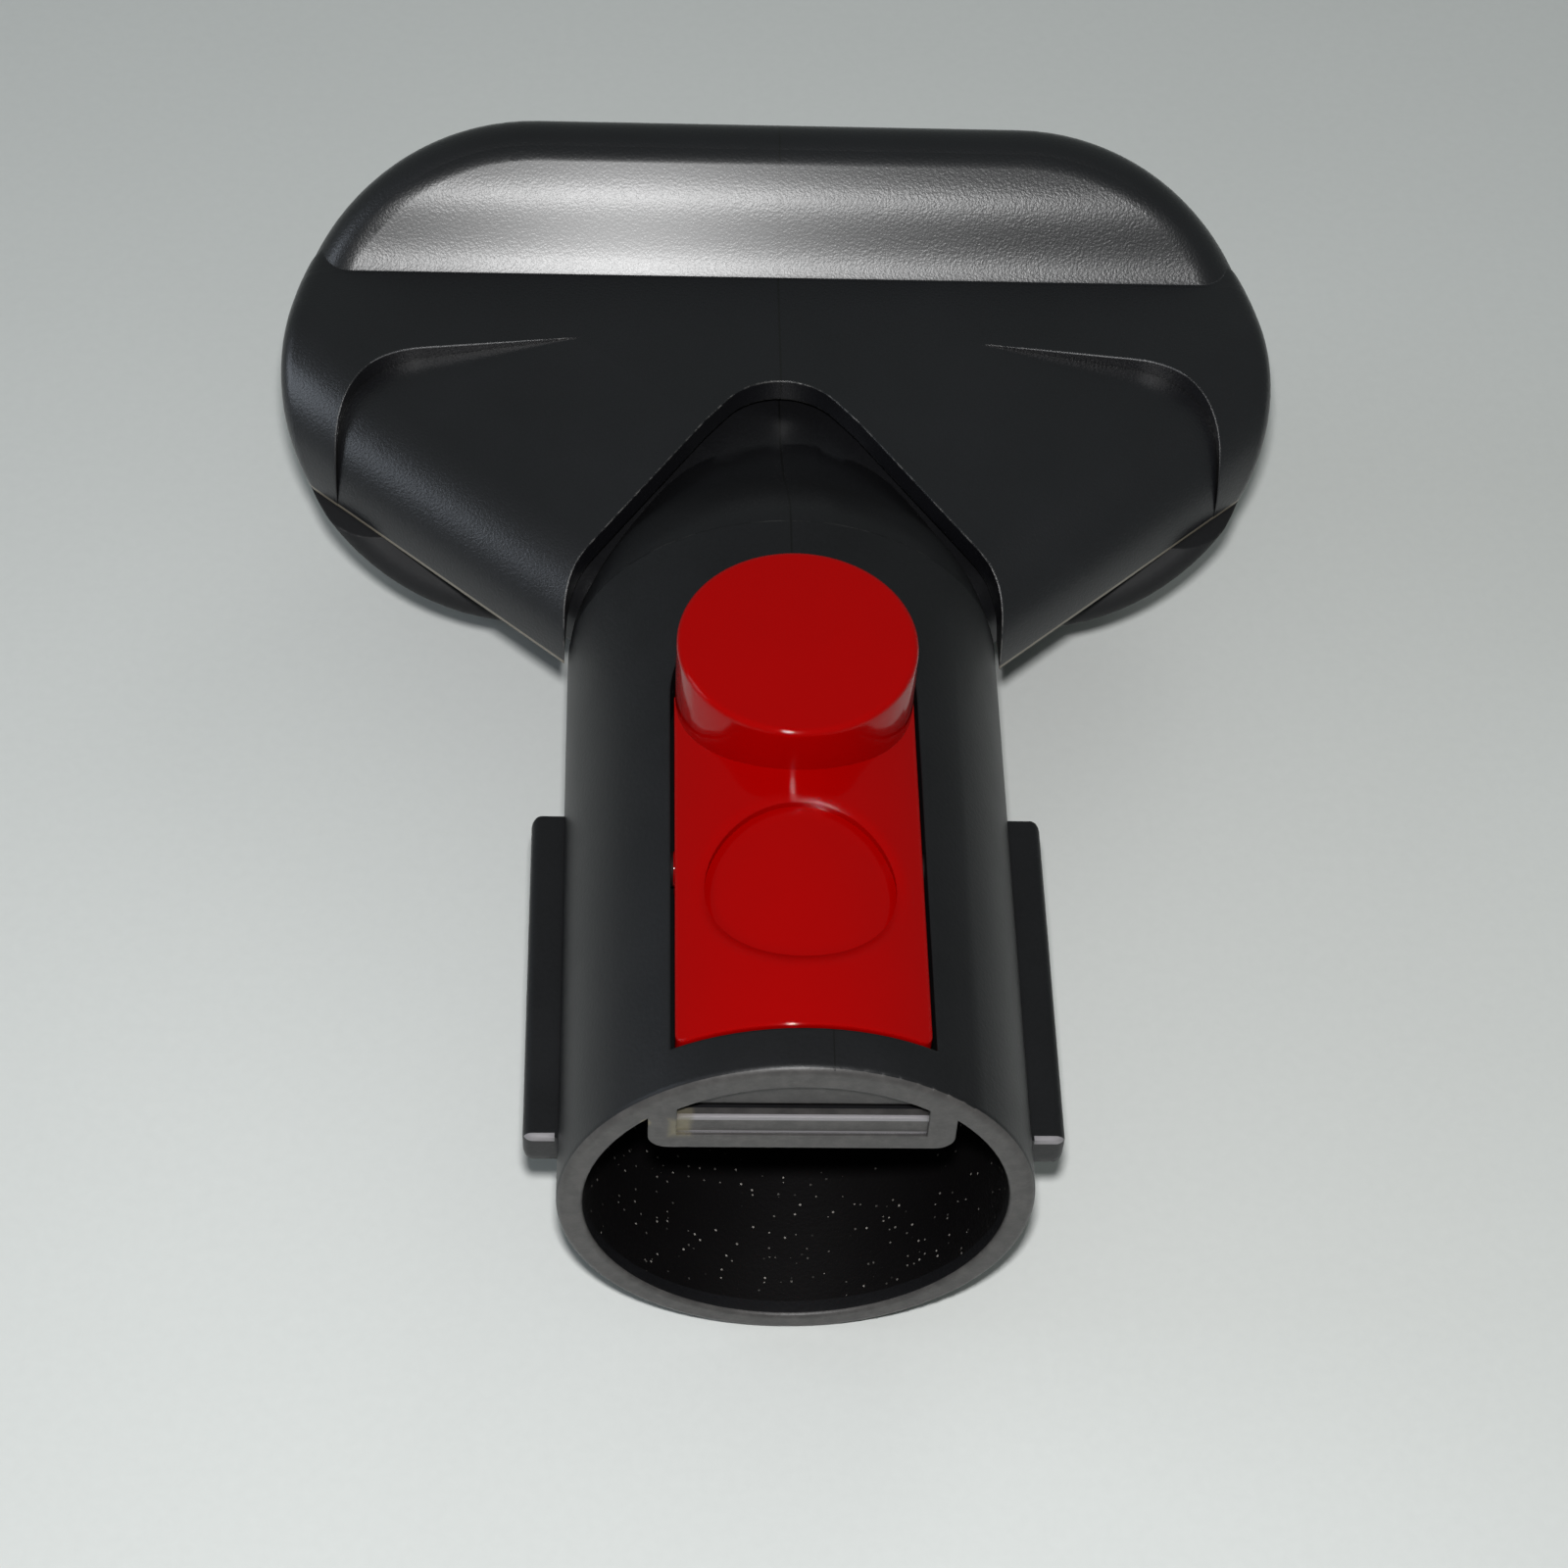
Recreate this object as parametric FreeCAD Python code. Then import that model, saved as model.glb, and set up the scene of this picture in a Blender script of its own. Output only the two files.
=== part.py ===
import FreeCAD, Part
import math
import os

from FreeCAD import Vector

# Stiff bristle brush for the wand of a vacuum cleaner.
# Millimetres. The origin is the centre of the collar's mouth, +Y runs along the collar
# into the tool, +Z is up, where the release button is, and +X is to the right.

# Collar: the round sleeve that slides over the end of the wand
collar_radius = 20.0
bore_radius = 17.8
bore_depth = 46.0
collar_length = 59.5
mouth_outer_round = 0.7
mouth_inner_round = 0.4

# Stop ring that the wand's end meets
stop_ring_radius = 16.2
stop_ring_thickness = 2.0

# Guide rails on both sides of the collar
rail_projection = 2.9
rail_thickness = 3.2
rail_start = 5.6
rail_end = 40.0
rail_round = 0.9
rail_root_depth = 1.2

# Catch housing: the channel in the bore's roof that holds the button's works
housing_width = 25.0
housing_floor_bottom = 8.9
housing_floor_thickness = 1.75
housing_end_wall = 1.65
housing_corner_round = 1.6

# Front of the catch housing, seen in the mouth: a lip, a slit and an arched web
mouth_window_width = 20.4
mouth_window_crown = 17.6
lip_height = 2.2
lip_setback = 0.3
slit_height = 1.0
web_setback = 1.0

# Release button: a rocker with a shallow thumb dish and a raised round pad
button_width = 20.8
button_start = 4.5
button_gap = 0.35
button_front_gap = 0.4
button_tail_gap = 0.5
button_inset = 0.1
button_skin = 2.2
button_corner_round = 1.0
pad_centre = 41.1
pad_overlap = 0.05
pad_top = 24.7
pad_edge_round = 0.5
pad_wall = 1.8
pad_skin = 2.2
pad_skirt_bottom = 14.6
dish_radius = 8.0
dish_centre = 19.3
dish_depth = 0.7

# Latch hook under the button, and the window in the housing floor that it works through
hook_width = 8.0
hook_start = 9.0
hook_length = 3.2
hook_reach = 1.2
hook_window_gap = 1.3
hook_window_side_gap = 0.6

# Pivot of the rocker: stub trunnions in sockets in the housing's side walls
pivot_y = 25.0
pivot_z = 13.5
trunnion_radius = 1.5
trunnion_length = 1.5
trunnion_clearance = 0.05
trunnion_end_gap = 0.15
ear_thickness = 2.6
ear_radius = 2.25

# Return spring under the pad
spring_radius = 2.8
spring_wire_radius = 0.4
spring_turns = 3
spring_wire_sides = 6
spring_end_gap = 0.05
spring_post_clearance = 0.3
spring_post_height = 1.4

# Neck: the hollow throat between the collar and the head.
# Each station: place along the neck as a share of its length, height of its top between the
# liner's roof (0) and the collar's crown (1), half width and depth as shares of its radius.
neck_length = 27.0
neck_wall = 2.2
neck_step = 0.2
neck_overlap = 1.0
neck_stations = (
    (0.00, 1.00, 1.000, 1.000),
    (0.11, 0.94, 0.980, 0.985),
    (0.19, 0.84, 0.950, 0.950),
    (0.30, 0.66, 0.900, 0.890),
    (0.46, 0.37, 0.820, 0.760),
    (0.62, 0.17, 0.775, 0.600),
    (0.76, 0.03, 0.750, 0.475),
    (1.00, -0.02, 0.750, 0.350),
)

# Head: a long rounded plate, leaning so that its bristles point forward and down.
# Its centre is the middle of its back face, and lies this far past the collar's end.
lean_angle = 45.0
head_half_length = 48.1
head_end_radius = 24.4
head_reach = 33.5
head_centre_z = 5.4
flange_depth = 9.0
flange_round = 4.2
cover_wall = 2.4

# Fan of the cover: two flanks that spread from the collar, under a level shelf
shelf_height = 12.0
wing_edge_height = 1.5
wing_edge_x = 20.1
wing_edge_setback = 1.5
wing_sweep_angle = 48.3
wing_round = 9.0
wing_panel_width = 24.8
wing_slope_angle = 7.5

# Raised rim round the outer end of each wing's panel, level with the shelf
rim_width = 5.7
rim_lap = 0.4
rim_round = 2.0
rim_corner_round = 9.0
ridge_reach = 33.4
ridge_angle = 6.5

# Arched opening in the cover, where the neck runs in
arch_reach = 25.7
arch_apex_radius = 6.4
arch_leg_angle = 37.5
arch_foot_radius = 8.0
arch_side_gap = 0.3

# Lower body of the head: a liner under the cover's fan and a skirt below the wings' edges
liner_gap = 1.6
liner_wall = 1.8
liner_floor_drop = 2.3
skirt_depth = 10.4
skirt_round = 2.0
skirt_wall = 2.4
skirt_seam_gap = 0.3

# Sole: the plate that carries the bristles and frames the suction slot
sole_thickness = 3.0
sole_setback = 0.8
sole_rim_wall = 1.4
sole_side_gap = 0.15
slot_half_length = 33.0
slot_half_height = 8.0

# Bristle tufts, in two rings round the slot
tuft_sides = 8
tuft_root_radius = 1.75
tuft_tip_radius = 2.3
tuft_seat_depth = 1.6
tuft_hole_clearance = 0.05
outer_ring_inset = 7.6
inner_ring_inset = 12.7
outer_ring_count = 28
inner_ring_count = 22

# Places worked out from the driving sizes
rail_reach = collar_radius + rail_projection
head_centre_y = collar_length + head_reach
wing_edge_y = collar_length - wing_edge_setback
ridge_y = collar_length + ridge_reach
arch_apex_y = collar_length + arch_reach
panel_reach = head_half_length - rim_width
housing_floor_top = housing_floor_bottom + housing_floor_thickness
button_half = button_width / 2
slot_half = button_half + button_gap
slot_start = button_start - button_front_gap
slot_end_centre = pad_centre + button_tail_gap
housing_end = slot_end_centre + slot_half + housing_end_wall
button_crown = collar_radius - button_inset
button_underside = button_crown - button_skin
pad_radius = button_half - pad_overlap
pad_ceiling = pad_top - pad_skin
lip_top = housing_floor_top + lip_height
slit_top = lip_top + slit_height
rim_flank_round = shelf_height - wing_edge_height
liner_inset = cover_wall + liner_gap
liner_roof = shelf_height - liner_inset
skirt_top = wing_edge_height - skirt_seam_gap
sole_face = sole_setback - flange_depth
sole_back = sole_face + sole_thickness
head_rotation = FreeCAD.Rotation(Vector(1, 0, 0), lean_angle)
head_placement = FreeCAD.Placement(Vector(0, head_centre_y, head_centre_z), head_rotation)
far = 200.0


def cylinder_y(radius, y0, y1):
    return Part.makeCylinder(radius, y1 - y0, Vector(0, y0, 0), Vector(0, 1, 0))


def cylinder_x(radius, x0, x1, y, z):
    return Part.makeCylinder(radius, x1 - x0, Vector(x0, y, z), Vector(1, 0, 0))


def cylinder_z(radius, z0, z1, y):
    return Part.makeCylinder(radius, z1 - z0, Vector(0, y, z0))


def box(x0, x1, y0, y1, z0, z1):
    return Part.makeBox(x1 - x0, y1 - y0, z1 - z0, Vector(x0, y0, z0))


def below(height):
    return box(-far, far, -far, far, -far, height)


def above(height):
    return box(-far, far, -far, far, height, far)


def edges_where(shape, test):
    return [edge for edge in shape.Edges if test(edge)]


def same(a, b):
    return abs(a - b) < 0.001


def all_points(edge, test):
    middle = edge.valueAt((edge.FirstParameter + edge.LastParameter) / 2)
    return all(test(point) for point in [vertex.Point for vertex in edge.Vertexes] + [middle])


# Head shapes are drawn flat, with X along the head, Y up its slope and Z toward its back,
# and then leant into place.
def lean(shape):
    leant = shape.copy()
    leant.Placement = head_placement
    return leant


def flat_stadium(half_length, radius, front, back):
    straight = half_length - radius
    right_top = Vector(straight, radius, front)
    right_end = Vector(half_length, 0, front)
    right_bottom = Vector(straight, -radius, front)
    left_bottom = Vector(-straight, -radius, front)
    left_end = Vector(-half_length, 0, front)
    left_top = Vector(-straight, radius, front)
    outline = Part.Wire([
        Part.makeLine(left_top, right_top),
        Part.Arc(right_top, right_end, right_bottom).toShape(),
        Part.makeLine(right_bottom, left_bottom),
        Part.Arc(left_bottom, left_end, left_top).toShape()])
    return Part.Face(outline).extrude(Vector(0, 0, back - front))


def stadium(inset, front, back):
    return lean(flat_stadium(head_half_length - inset, head_end_radius - inset, front, back))


def rounded_stadium(inset, front, back, edge_round):
    solid = flat_stadium(head_half_length - inset, head_end_radius - inset, front, back)
    back_edges = edges_where(solid, lambda edge: all_points(edge, lambda point: same(point.z, back)))
    return lean(solid.makeFillet(edge_round, back_edges))


def leaning_block(front, back):
    return lean(box(-far, far, -far, far, front, back))


# Fan: each flank is a section drawn across its edge and drawn out along it
def flank_prism(side, inset, flank_round, slope_angle):
    slope = math.radians(slope_angle)
    sweep = math.radians(wing_sweep_angle)
    along = Vector(side * math.sin(sweep), math.cos(sweep), 0)
    inward = Vector(-side * math.cos(sweep), math.sin(sweep), 0)
    origin = Vector(side * wing_edge_x, wing_edge_y, 0) - along * far
    arc_height = (shelf_height - (wing_panel_width - flank_round) * math.tan(slope)
                  - flank_round / math.cos(slope))
    arc_radius = flank_round - inset
    panel_end = wing_panel_width + inset * math.tan(slope / 2)

    def place(u, z):
        return origin + inward * u + Vector(0, 0, z)

    def on_arc(angle):
        return place(flank_round - arc_radius * math.cos(angle), arc_height + arc_radius * math.sin(angle))

    arc_end = math.pi / 2 - slope
    outline = [
        Part.makeLine(place(inset, -far), place(inset, arc_height)),
        Part.Arc(on_arc(0), on_arc(arc_end / 2), on_arc(arc_end)).toShape(),
        Part.makeLine(on_arc(arc_end), place(panel_end, shelf_height - inset)),
        Part.makeLine(place(panel_end, shelf_height - inset), place(far, shelf_height - inset)),
        Part.makeLine(place(far, shelf_height - inset), place(far, -far)),
        Part.makeLine(place(far, -far), place(inset, -far))]
    return Part.Face(Part.Wire(outline)).extrude(along * (2 * far))


def both_flanks(inset, bottom, flank_round, slope_angle):
    right = flank_prism(1, inset, flank_round, slope_angle)
    return right.common(flank_prism(-1, inset, flank_round, slope_angle)).common(above(bottom))


def on_end_wall(point):
    flat = head_placement.inverse().multVec(point)
    straight = head_half_length - head_end_radius
    return same(math.hypot(abs(flat.x) - straight, flat.y), head_end_radius)


def is_end_edge(edge, bottom, front):
    middle = edge.valueAt((edge.FirstParameter + edge.LastParameter) / 2)
    above_cuts = middle.z > bottom + 0.01 and head_placement.inverse().multVec(middle).z > front + 0.01
    near_end = abs(middle.x) > head_half_length - rim_width
    return above_cuts and near_end and all_points(edge, on_end_wall)


# The part of the wings that the sloping panels take up, seen from above
def panel_area():
    corner_y = ridge_y - panel_reach * math.tan(math.radians(ridge_angle))
    outline = Part.makePolygon([
        Vector(0, ridge_y, -far), Vector(panel_reach, corner_y, -far), Vector(panel_reach, -far, -far),
        Vector(-panel_reach, -far, -far), Vector(-panel_reach, corner_y, -far), Vector(0, ridge_y, -far)])
    area = Part.Face(outline).extrude(Vector(0, 0, 2 * far))
    corners = edges_where(area, lambda edge: all_points(edge, lambda point: same(
        abs(point.x), panel_reach) and same(point.y, corner_y)))
    return area.makeFillet(rim_corner_round, corners)


# The rim keeps the shelf's height round the wings' outer ends, and its own ends are rounded
def wing_rim(bottom, front):
    block = both_flanks(0, bottom, rim_flank_round, 0).common(stadium(0, front, far))
    ends = edges_where(block, lambda edge: is_end_edge(edge, bottom, front))
    return block.makeFillet(rim_round, ends).cut(panel_area())


def cover_fan(bottom, front):
    panel_limit = panel_reach + rim_lap
    panels = fan(0, bottom, front).common(box(-panel_limit, panel_limit, -far, far, -far, far))
    return panels.fuse(wing_rim(bottom, front))


def fan(inset, bottom, front):
    wings = both_flanks(inset, bottom, wing_round, wing_slope_angle)
    ends = stadium(inset, front, far)
    straight = head_half_length - head_end_radius
    middle = box(-straight, straight, -far, far, -far, far).common(leaning_block(front, far))
    return wings.common(ends.fuse(middle)).removeSplitter()


# Neck sections: the upper half is low and wide, the lower half is deeper
def neck_section(y, half_width, top, bottom):
    quarters = []
    corners = (Vector(half_width, y, 0), Vector(0, y, top),
               Vector(-half_width, y, 0), Vector(0, y, -bottom))
    for index in range(4):
        start = corners[index]
        end = corners[(index + 1) % 4]
        centre = Vector(0, y, 0)
        first = start - centre
        second = end - centre
        points = [centre + first * math.cos(step * math.pi / 12) + second * math.sin(step * math.pi / 12)
                  for step in range(7)]
        curve = Part.BSplineCurve()
        curve.interpolate(Points=points, InitialTangent=second, FinalTangent=first * -1)
        quarters.append(curve.toShape())
    return Part.Wire(quarters)


def neck_loft(inset):
    sections = []
    radius = collar_radius - neck_step
    start_radius = radius - inset
    sections.append(neck_section(collar_length - neck_overlap, start_radius, start_radius, start_radius))
    for place, rise, width_share, depth_share in neck_stations:
        top = liner_roof + rise * (radius - liner_roof)
        sections.append(neck_section(collar_length + place * neck_length, radius * width_share - inset,
                                     top - inset, radius * depth_share - inset))
    return Part.makeLoft(sections, True)


def arch_prism():
    leg = math.radians(arch_leg_angle)
    half_width = collar_radius + arch_side_gap
    apex_centre_y = arch_apex_y - arch_apex_radius
    top_x = arch_apex_radius * math.cos(leg)
    top_y = apex_centre_y + arch_apex_radius * math.sin(leg)
    corner_y = top_y - (half_width - top_x) / math.tan(leg)
    tangent = arch_foot_radius * math.tan(leg / 2)
    foot_x = half_width - tangent * math.sin(leg)
    foot_y = corner_y + tangent * math.cos(leg)
    foot_centre = Vector(half_width - arch_foot_radius, corner_y - tangent, 0)
    foot_middle = foot_centre + Vector(math.cos(leg / 2), math.sin(leg / 2), 0) * arch_foot_radius

    def mirrored(point):
        return Vector(-point.x, point.y, point.z)

    start = Vector(half_width, -far, 0)
    foot_low = Vector(half_width, corner_y - tangent, 0)
    foot_high = Vector(foot_x, foot_y, 0)
    shoulder = Vector(top_x, top_y, 0)
    outline = Part.Wire([
        Part.makeLine(start, foot_low),
        Part.Arc(foot_low, foot_middle, foot_high).toShape(),
        Part.makeLine(foot_high, shoulder),
        Part.Arc(shoulder, Vector(0, arch_apex_y, 0), mirrored(shoulder)).toShape(),
        Part.makeLine(mirrored(shoulder), mirrored(foot_high)),
        Part.Arc(mirrored(foot_high), mirrored(foot_middle), mirrored(foot_low)).toShape(),
        Part.makeLine(mirrored(foot_low), mirrored(start)),
        Part.makeLine(mirrored(start), start)])
    face = Part.Face(outline)
    face.translate(Vector(0, 0, -far))
    return face.extrude(Vector(0, 0, 2 * far))


def collar_tube():
    tube = cylinder_y(collar_radius, 0, collar_length).cut(cylinder_y(bore_radius, -1, collar_length + 1))
    outer = edges_where(tube, lambda edge: all_points(edge, lambda point: same(point.y, 0) and
                        same(math.hypot(point.x, point.z), collar_radius)))
    tube = tube.makeFillet(mouth_outer_round, outer)
    inner = edges_where(tube, lambda edge: all_points(edge, lambda point: same(point.y, 0) and
                        same(math.hypot(point.x, point.z), bore_radius)))
    return tube.makeFillet(mouth_inner_round, inner)


def stop_ring():
    end = bore_depth + stop_ring_thickness
    middle_radius = (bore_radius + collar_radius) / 2
    return cylinder_y(middle_radius, bore_depth, end).cut(cylinder_y(stop_ring_radius, 0, end + 1))


def rail(side):
    root = collar_radius - rail_root_depth
    x0, x1 = sorted((side * root, side * rail_reach))
    block = box(x0, x1, rail_start, rail_end, -rail_thickness / 2, rail_thickness / 2)
    long_edges = edges_where(block, lambda edge: all_points(
        edge, lambda point: same(abs(point.x), rail_reach)))
    return block.makeFillet(rail_round, long_edges)


def catch_housing():
    block = box(-housing_width / 2, housing_width / 2, 0, housing_end, housing_floor_bottom, collar_radius)
    lower = edges_where(block, lambda edge: all_points(edge, lambda point: same(
        point.z, housing_floor_bottom) and same(abs(point.x), housing_width / 2)))
    inside_collar = cylinder_y((bore_radius + collar_radius) / 2, mouth_outer_round / 2, housing_end)
    return block.makeFillet(housing_corner_round, lower).common(inside_collar)


def mouth_face():
    # Flat front of the housing, so that it ends level with the collar's mouth
    block = box(-housing_width / 2, housing_width / 2, 0, slot_start, housing_floor_bottom, collar_radius)
    lower = edges_where(block, lambda edge: all_points(edge, lambda point: same(
        point.z, housing_floor_bottom) and same(abs(point.x), housing_width / 2)))
    inside_collar = cylinder_y((bore_radius + collar_radius) / 2, 0, slot_start)
    return block.makeFillet(housing_corner_round, lower).common(inside_collar)


def button_slot():
    top = pad_top + 1
    channel = box(-slot_half, slot_half, slot_start, slot_end_centre, housing_floor_top, top)
    return channel.fuse(cylinder_z(slot_half, housing_floor_top, top, slot_end_centre)).removeSplitter()


def mouth_window():
    half = mouth_window_width / 2
    recess = box(-half, half, -1, web_setback, housing_floor_top, collar_radius)
    recess = recess.common(cylinder_y(mouth_window_crown, -1, web_setback))
    lip = box(-half, half, lip_setback, web_setback + 1, housing_floor_top - 1, lip_top)
    slit = box(-half, half, 0, slot_start + 1, lip_top, slit_top)
    return recess.cut(lip).fuse(slit)


def hook_window():
    half = hook_width / 2 + hook_window_side_gap
    return box(-half, half, hook_start - hook_window_gap, hook_start + hook_length + hook_window_gap,
               housing_floor_bottom - 1, housing_floor_top + 1)


def trunnion_sockets():
    reach = button_half + trunnion_length + trunnion_end_gap
    return cylinder_x(trunnion_radius + trunnion_clearance, -reach, reach, pivot_y, pivot_z)


def spring_post(bottom, top):
    post_radius = spring_radius - 2 * spring_wire_radius - spring_post_clearance
    return cylinder_z(post_radius, bottom, top, pad_centre)


def collar_body():
    liner = fan(liner_inset, wing_edge_height - liner_floor_drop, sole_back)
    skirt = rounded_stadium(0, 0, skirt_depth, skirt_round).common(below(skirt_top))
    neck = neck_loft(0).cut(leaning_block(-far, 0))
    outside = collar_tube().fuse([neck, liner, skirt])

    inner_inset = liner_inset + liner_wall
    hollow_bottom = wing_edge_height - liner_floor_drop + liner_wall
    liner_hollow = fan(inner_inset, hollow_bottom, sole_back - 1)
    chamber = stadium(skirt_wall, sole_back - 1, skirt_depth - skirt_wall)
    chamber_low = chamber.common(below(skirt_top - liner_wall))
    chamber_high = chamber.common(fan(inner_inset, -far, sole_back - 1))
    bore = cylinder_y(bore_radius, mouth_outer_round + mouth_inner_round, collar_length + 0.01)
    hollow = bore.fuse([neck_loft(neck_wall), liner_hollow, chamber_low, chamber_high])
    body = outside.cut(hollow)

    body = body.fuse([rail(-1), rail(1), catch_housing(), mouth_face(), stop_ring()])
    body = body.cut(button_slot())
    body = body.cut(mouth_window().fuse(hook_window()))
    body = body.cut(trunnion_sockets())
    body = body.fuse(spring_post(housing_floor_top - 0.5, housing_floor_top + spring_post_height))
    return body.removeSplitter()


def head_cover():
    flange = rounded_stadium(0, -flange_depth, 0, flange_round)
    lower_flange = stadium(0, -flange_depth, 0).common(below(wing_edge_height))
    wings = cover_fan(wing_edge_height, -cover_wall)
    outside = flange.fuse([lower_flange, wings])

    cavity = stadium(cover_wall, -flange_depth - 1, -cover_wall)
    rear_opening = stadium(cover_wall, -flange_depth - 1, 1).common(below(wing_edge_height))
    wings_hollow = fan(cover_wall, -far, -cover_wall - 1)
    wings_hollow = wings_hollow.cut(leaning_block(-far, -cover_wall - 0.5))
    under_wings = wings_hollow.cut(below(wing_edge_height - 1))
    pocket = stadium(sole_rim_wall, -flange_depth - 1, sole_back)
    cover = outside.cut(cavity.fuse([rear_opening, under_wings, pocket]))
    return cover.cut(arch_prism().cut(below(wing_edge_height - 1))).removeSplitter()


def ring_places(inset, count):
    straight = head_half_length - head_end_radius
    radius = head_end_radius - inset
    bend = math.pi * radius
    length = 4 * straight + 2 * bend
    places = []
    for index in range(count):
        run = (index + 0.5) * length / count
        if run < straight:
            places.append((run, radius))
        elif run < straight + bend:
            angle = math.pi / 2 - (run - straight) / radius
            places.append((straight + radius * math.cos(angle), radius * math.sin(angle)))
        elif run < 3 * straight + bend:
            places.append((2 * straight + bend - run, -radius))
        elif run < 3 * straight + 2 * bend:
            angle = -math.pi / 2 - (run - 3 * straight - bend) / radius
            places.append((-straight + radius * math.cos(angle), radius * math.sin(angle)))
        else:
            places.append((run - length, radius))
    return places


def tuft_places():
    return ring_places(outer_ring_inset, outer_ring_count) + ring_places(inner_ring_inset, inner_ring_count)


# The lowest bristle tips reach the level that the collar rests on
def tuft_reach():
    lean_radians = math.radians(lean_angle)
    drop = head_centre_z + collar_radius
    lowest = (head_end_radius - outer_ring_inset + tuft_tip_radius) * math.sin(lean_radians)
    return (drop - lowest) / math.cos(lean_radians) + sole_face


def bundle_outline(x, along_slope, radius, level):
    points = []
    for corner in range(tuft_sides + 1):
        angle = 2 * math.pi * (corner + 0.5) / tuft_sides
        points.append(Vector(x + radius * math.cos(angle), along_slope + radius * math.sin(angle), level))
    return Part.makePolygon(points)


def tuft(x, along_slope):
    root = bundle_outline(x, along_slope, tuft_root_radius, sole_face + tuft_seat_depth)
    tip = bundle_outline(x, along_slope, tuft_tip_radius, sole_face - tuft_reach())
    return lean(Part.makeLoft([root, tip], True, True))


def sole_plate():
    plate = flat_stadium(head_half_length - sole_rim_wall - sole_side_gap,
                         head_end_radius - sole_rim_wall - sole_side_gap, sole_face, sole_back)
    slot_edge = Part.Ellipse(Vector(0, 0, 0), slot_half_length, slot_half_height).toShape()
    slot = Part.Face(Part.Wire([slot_edge]))
    slot.translate(Vector(0, 0, sole_face - 1))
    plate = plate.cut(slot.extrude(Vector(0, 0, sole_thickness + 2)))
    share = tuft_seat_depth / (tuft_seat_depth + tuft_reach())
    hole_radius = tuft_root_radius + share * (tuft_tip_radius - tuft_root_radius) + tuft_hole_clearance
    hole_depth = Vector(0, 0, tuft_seat_depth + 1)
    holes = [Part.Face(bundle_outline(x, y, hole_radius, sole_face - 1)).extrude(hole_depth)
             for x, y in tuft_places()]
    return lean(plate.cut(holes))


def button_plate():
    plate = box(-button_half, button_half, button_start, pad_centre, 0, collar_radius)
    corners = edges_where(plate, lambda edge: all_points(edge, lambda point: same(
        point.y, button_start) and same(abs(point.x), button_half)))
    plate = plate.makeFillet(button_corner_round, corners)
    shell = cylinder_y(button_crown, 0, pad_centre + 1)
    shell = shell.cut(cylinder_y(button_underside, -1, pad_centre + 2))
    return plate.common(shell)


def thumb_dish():
    bowl = cylinder_z(dish_radius, 0, pad_top, dish_centre)
    return bowl.cut(cylinder_y(button_crown - dish_depth, 0, pad_centre))


def button_pad():
    pad = cylinder_z(pad_radius, pad_skirt_bottom, pad_top, pad_centre)
    rim = edges_where(pad, lambda edge: all_points(edge, lambda point: same(point.z, pad_top)))
    pad = pad.makeFillet(pad_edge_round, rim)
    return pad.cut(cylinder_z(pad_radius - pad_wall, pad_skirt_bottom - 1, pad_ceiling, pad_centre))


def button_ear(side):
    x0, x1 = sorted((side * (button_half - ear_thickness), side * button_half))
    skin_middle = button_underside + button_skin / 2
    web = box(x0, x1, pivot_y - ear_radius, pivot_y + ear_radius, pivot_z, skin_middle)
    web = web.common(cylinder_y(skin_middle, 0, pad_centre))
    return web.fuse(cylinder_x(ear_radius, x0, x1, pivot_y, pivot_z))


def release_button():
    plate = button_plate().cut(thumb_dish())
    inner_space = cylinder_z(pad_radius - pad_wall, 0, pad_ceiling, pad_centre)
    hook = box(-hook_width / 2, hook_width / 2, hook_start, hook_start + hook_length,
               housing_floor_bottom - hook_reach, button_underside + button_skin / 2)
    stub_reach = button_half + trunnion_length
    stubs = cylinder_x(trunnion_radius, -stub_reach, -button_half + 1, pivot_y, pivot_z).fuse(
        cylinder_x(trunnion_radius, button_half - 1, stub_reach, pivot_y, pivot_z))
    post = spring_post(pad_ceiling - spring_post_height, pad_ceiling + 0.5)
    button = plate.cut(inner_space).fuse([button_pad(), button_ear(-1), button_ear(1), hook, stubs])
    return button.fuse(post).removeSplitter()


def button_spring():
    bottom = housing_floor_top + spring_wire_radius + spring_end_gap
    top = pad_ceiling - spring_wire_radius - spring_end_gap
    coil_radius = spring_radius - spring_wire_radius
    pitch = (top - bottom) / spring_turns
    helix = Part.makeHelix(pitch, top - bottom, coil_radius)
    corners = []
    for corner in range(spring_wire_sides + 1):
        angle = 2 * math.pi * corner / spring_wire_sides
        corners.append(Vector(coil_radius + spring_wire_radius * math.cos(angle), 0,
                              spring_wire_radius * math.sin(angle)))
    section = Part.makePolygon(corners)
    coil = Part.Wire(helix.Edges).makePipeShell([section], True, True)
    coil.translate(Vector(0, pad_centre, bottom))
    return coil


nodes = {
    "collar_body": collar_body(),
    "head_cover": head_cover(),
    "sole_plate": sole_plate(),
    "release_button": release_button(),
    "button_spring": button_spring(),
}
for number, (place_x, place_y) in enumerate(tuft_places(), start=1):
    nodes["tuft_%02d" % number] = tuft(place_x, place_y)

os.makedirs("parts", exist_ok=True)
for name, solid in nodes.items():
    solid.exportStep("parts/" + name + ".step")
    print(name, len(solid.Solids), solid.isValid(), round(solid.Volume, 2))
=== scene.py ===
# %% [markdown]
# # A stiff bristle vacuum brush
#
# This lesson dresses a finished CAD model of a vacuum brush, so that it looks like the real thing.
# The real brush is a dark moulded body with a round collar, a glossy red release button, a leaning
# head and two rings of stiff nylon bristles. The CAD parts already have the right size and place, so
# every step here adds what a drawing can't show: grain, gloss, parting lines, dust and real bristles.

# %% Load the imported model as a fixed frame
import math

import bmesh
import bpy
from mathutils import Matrix, Vector


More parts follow.
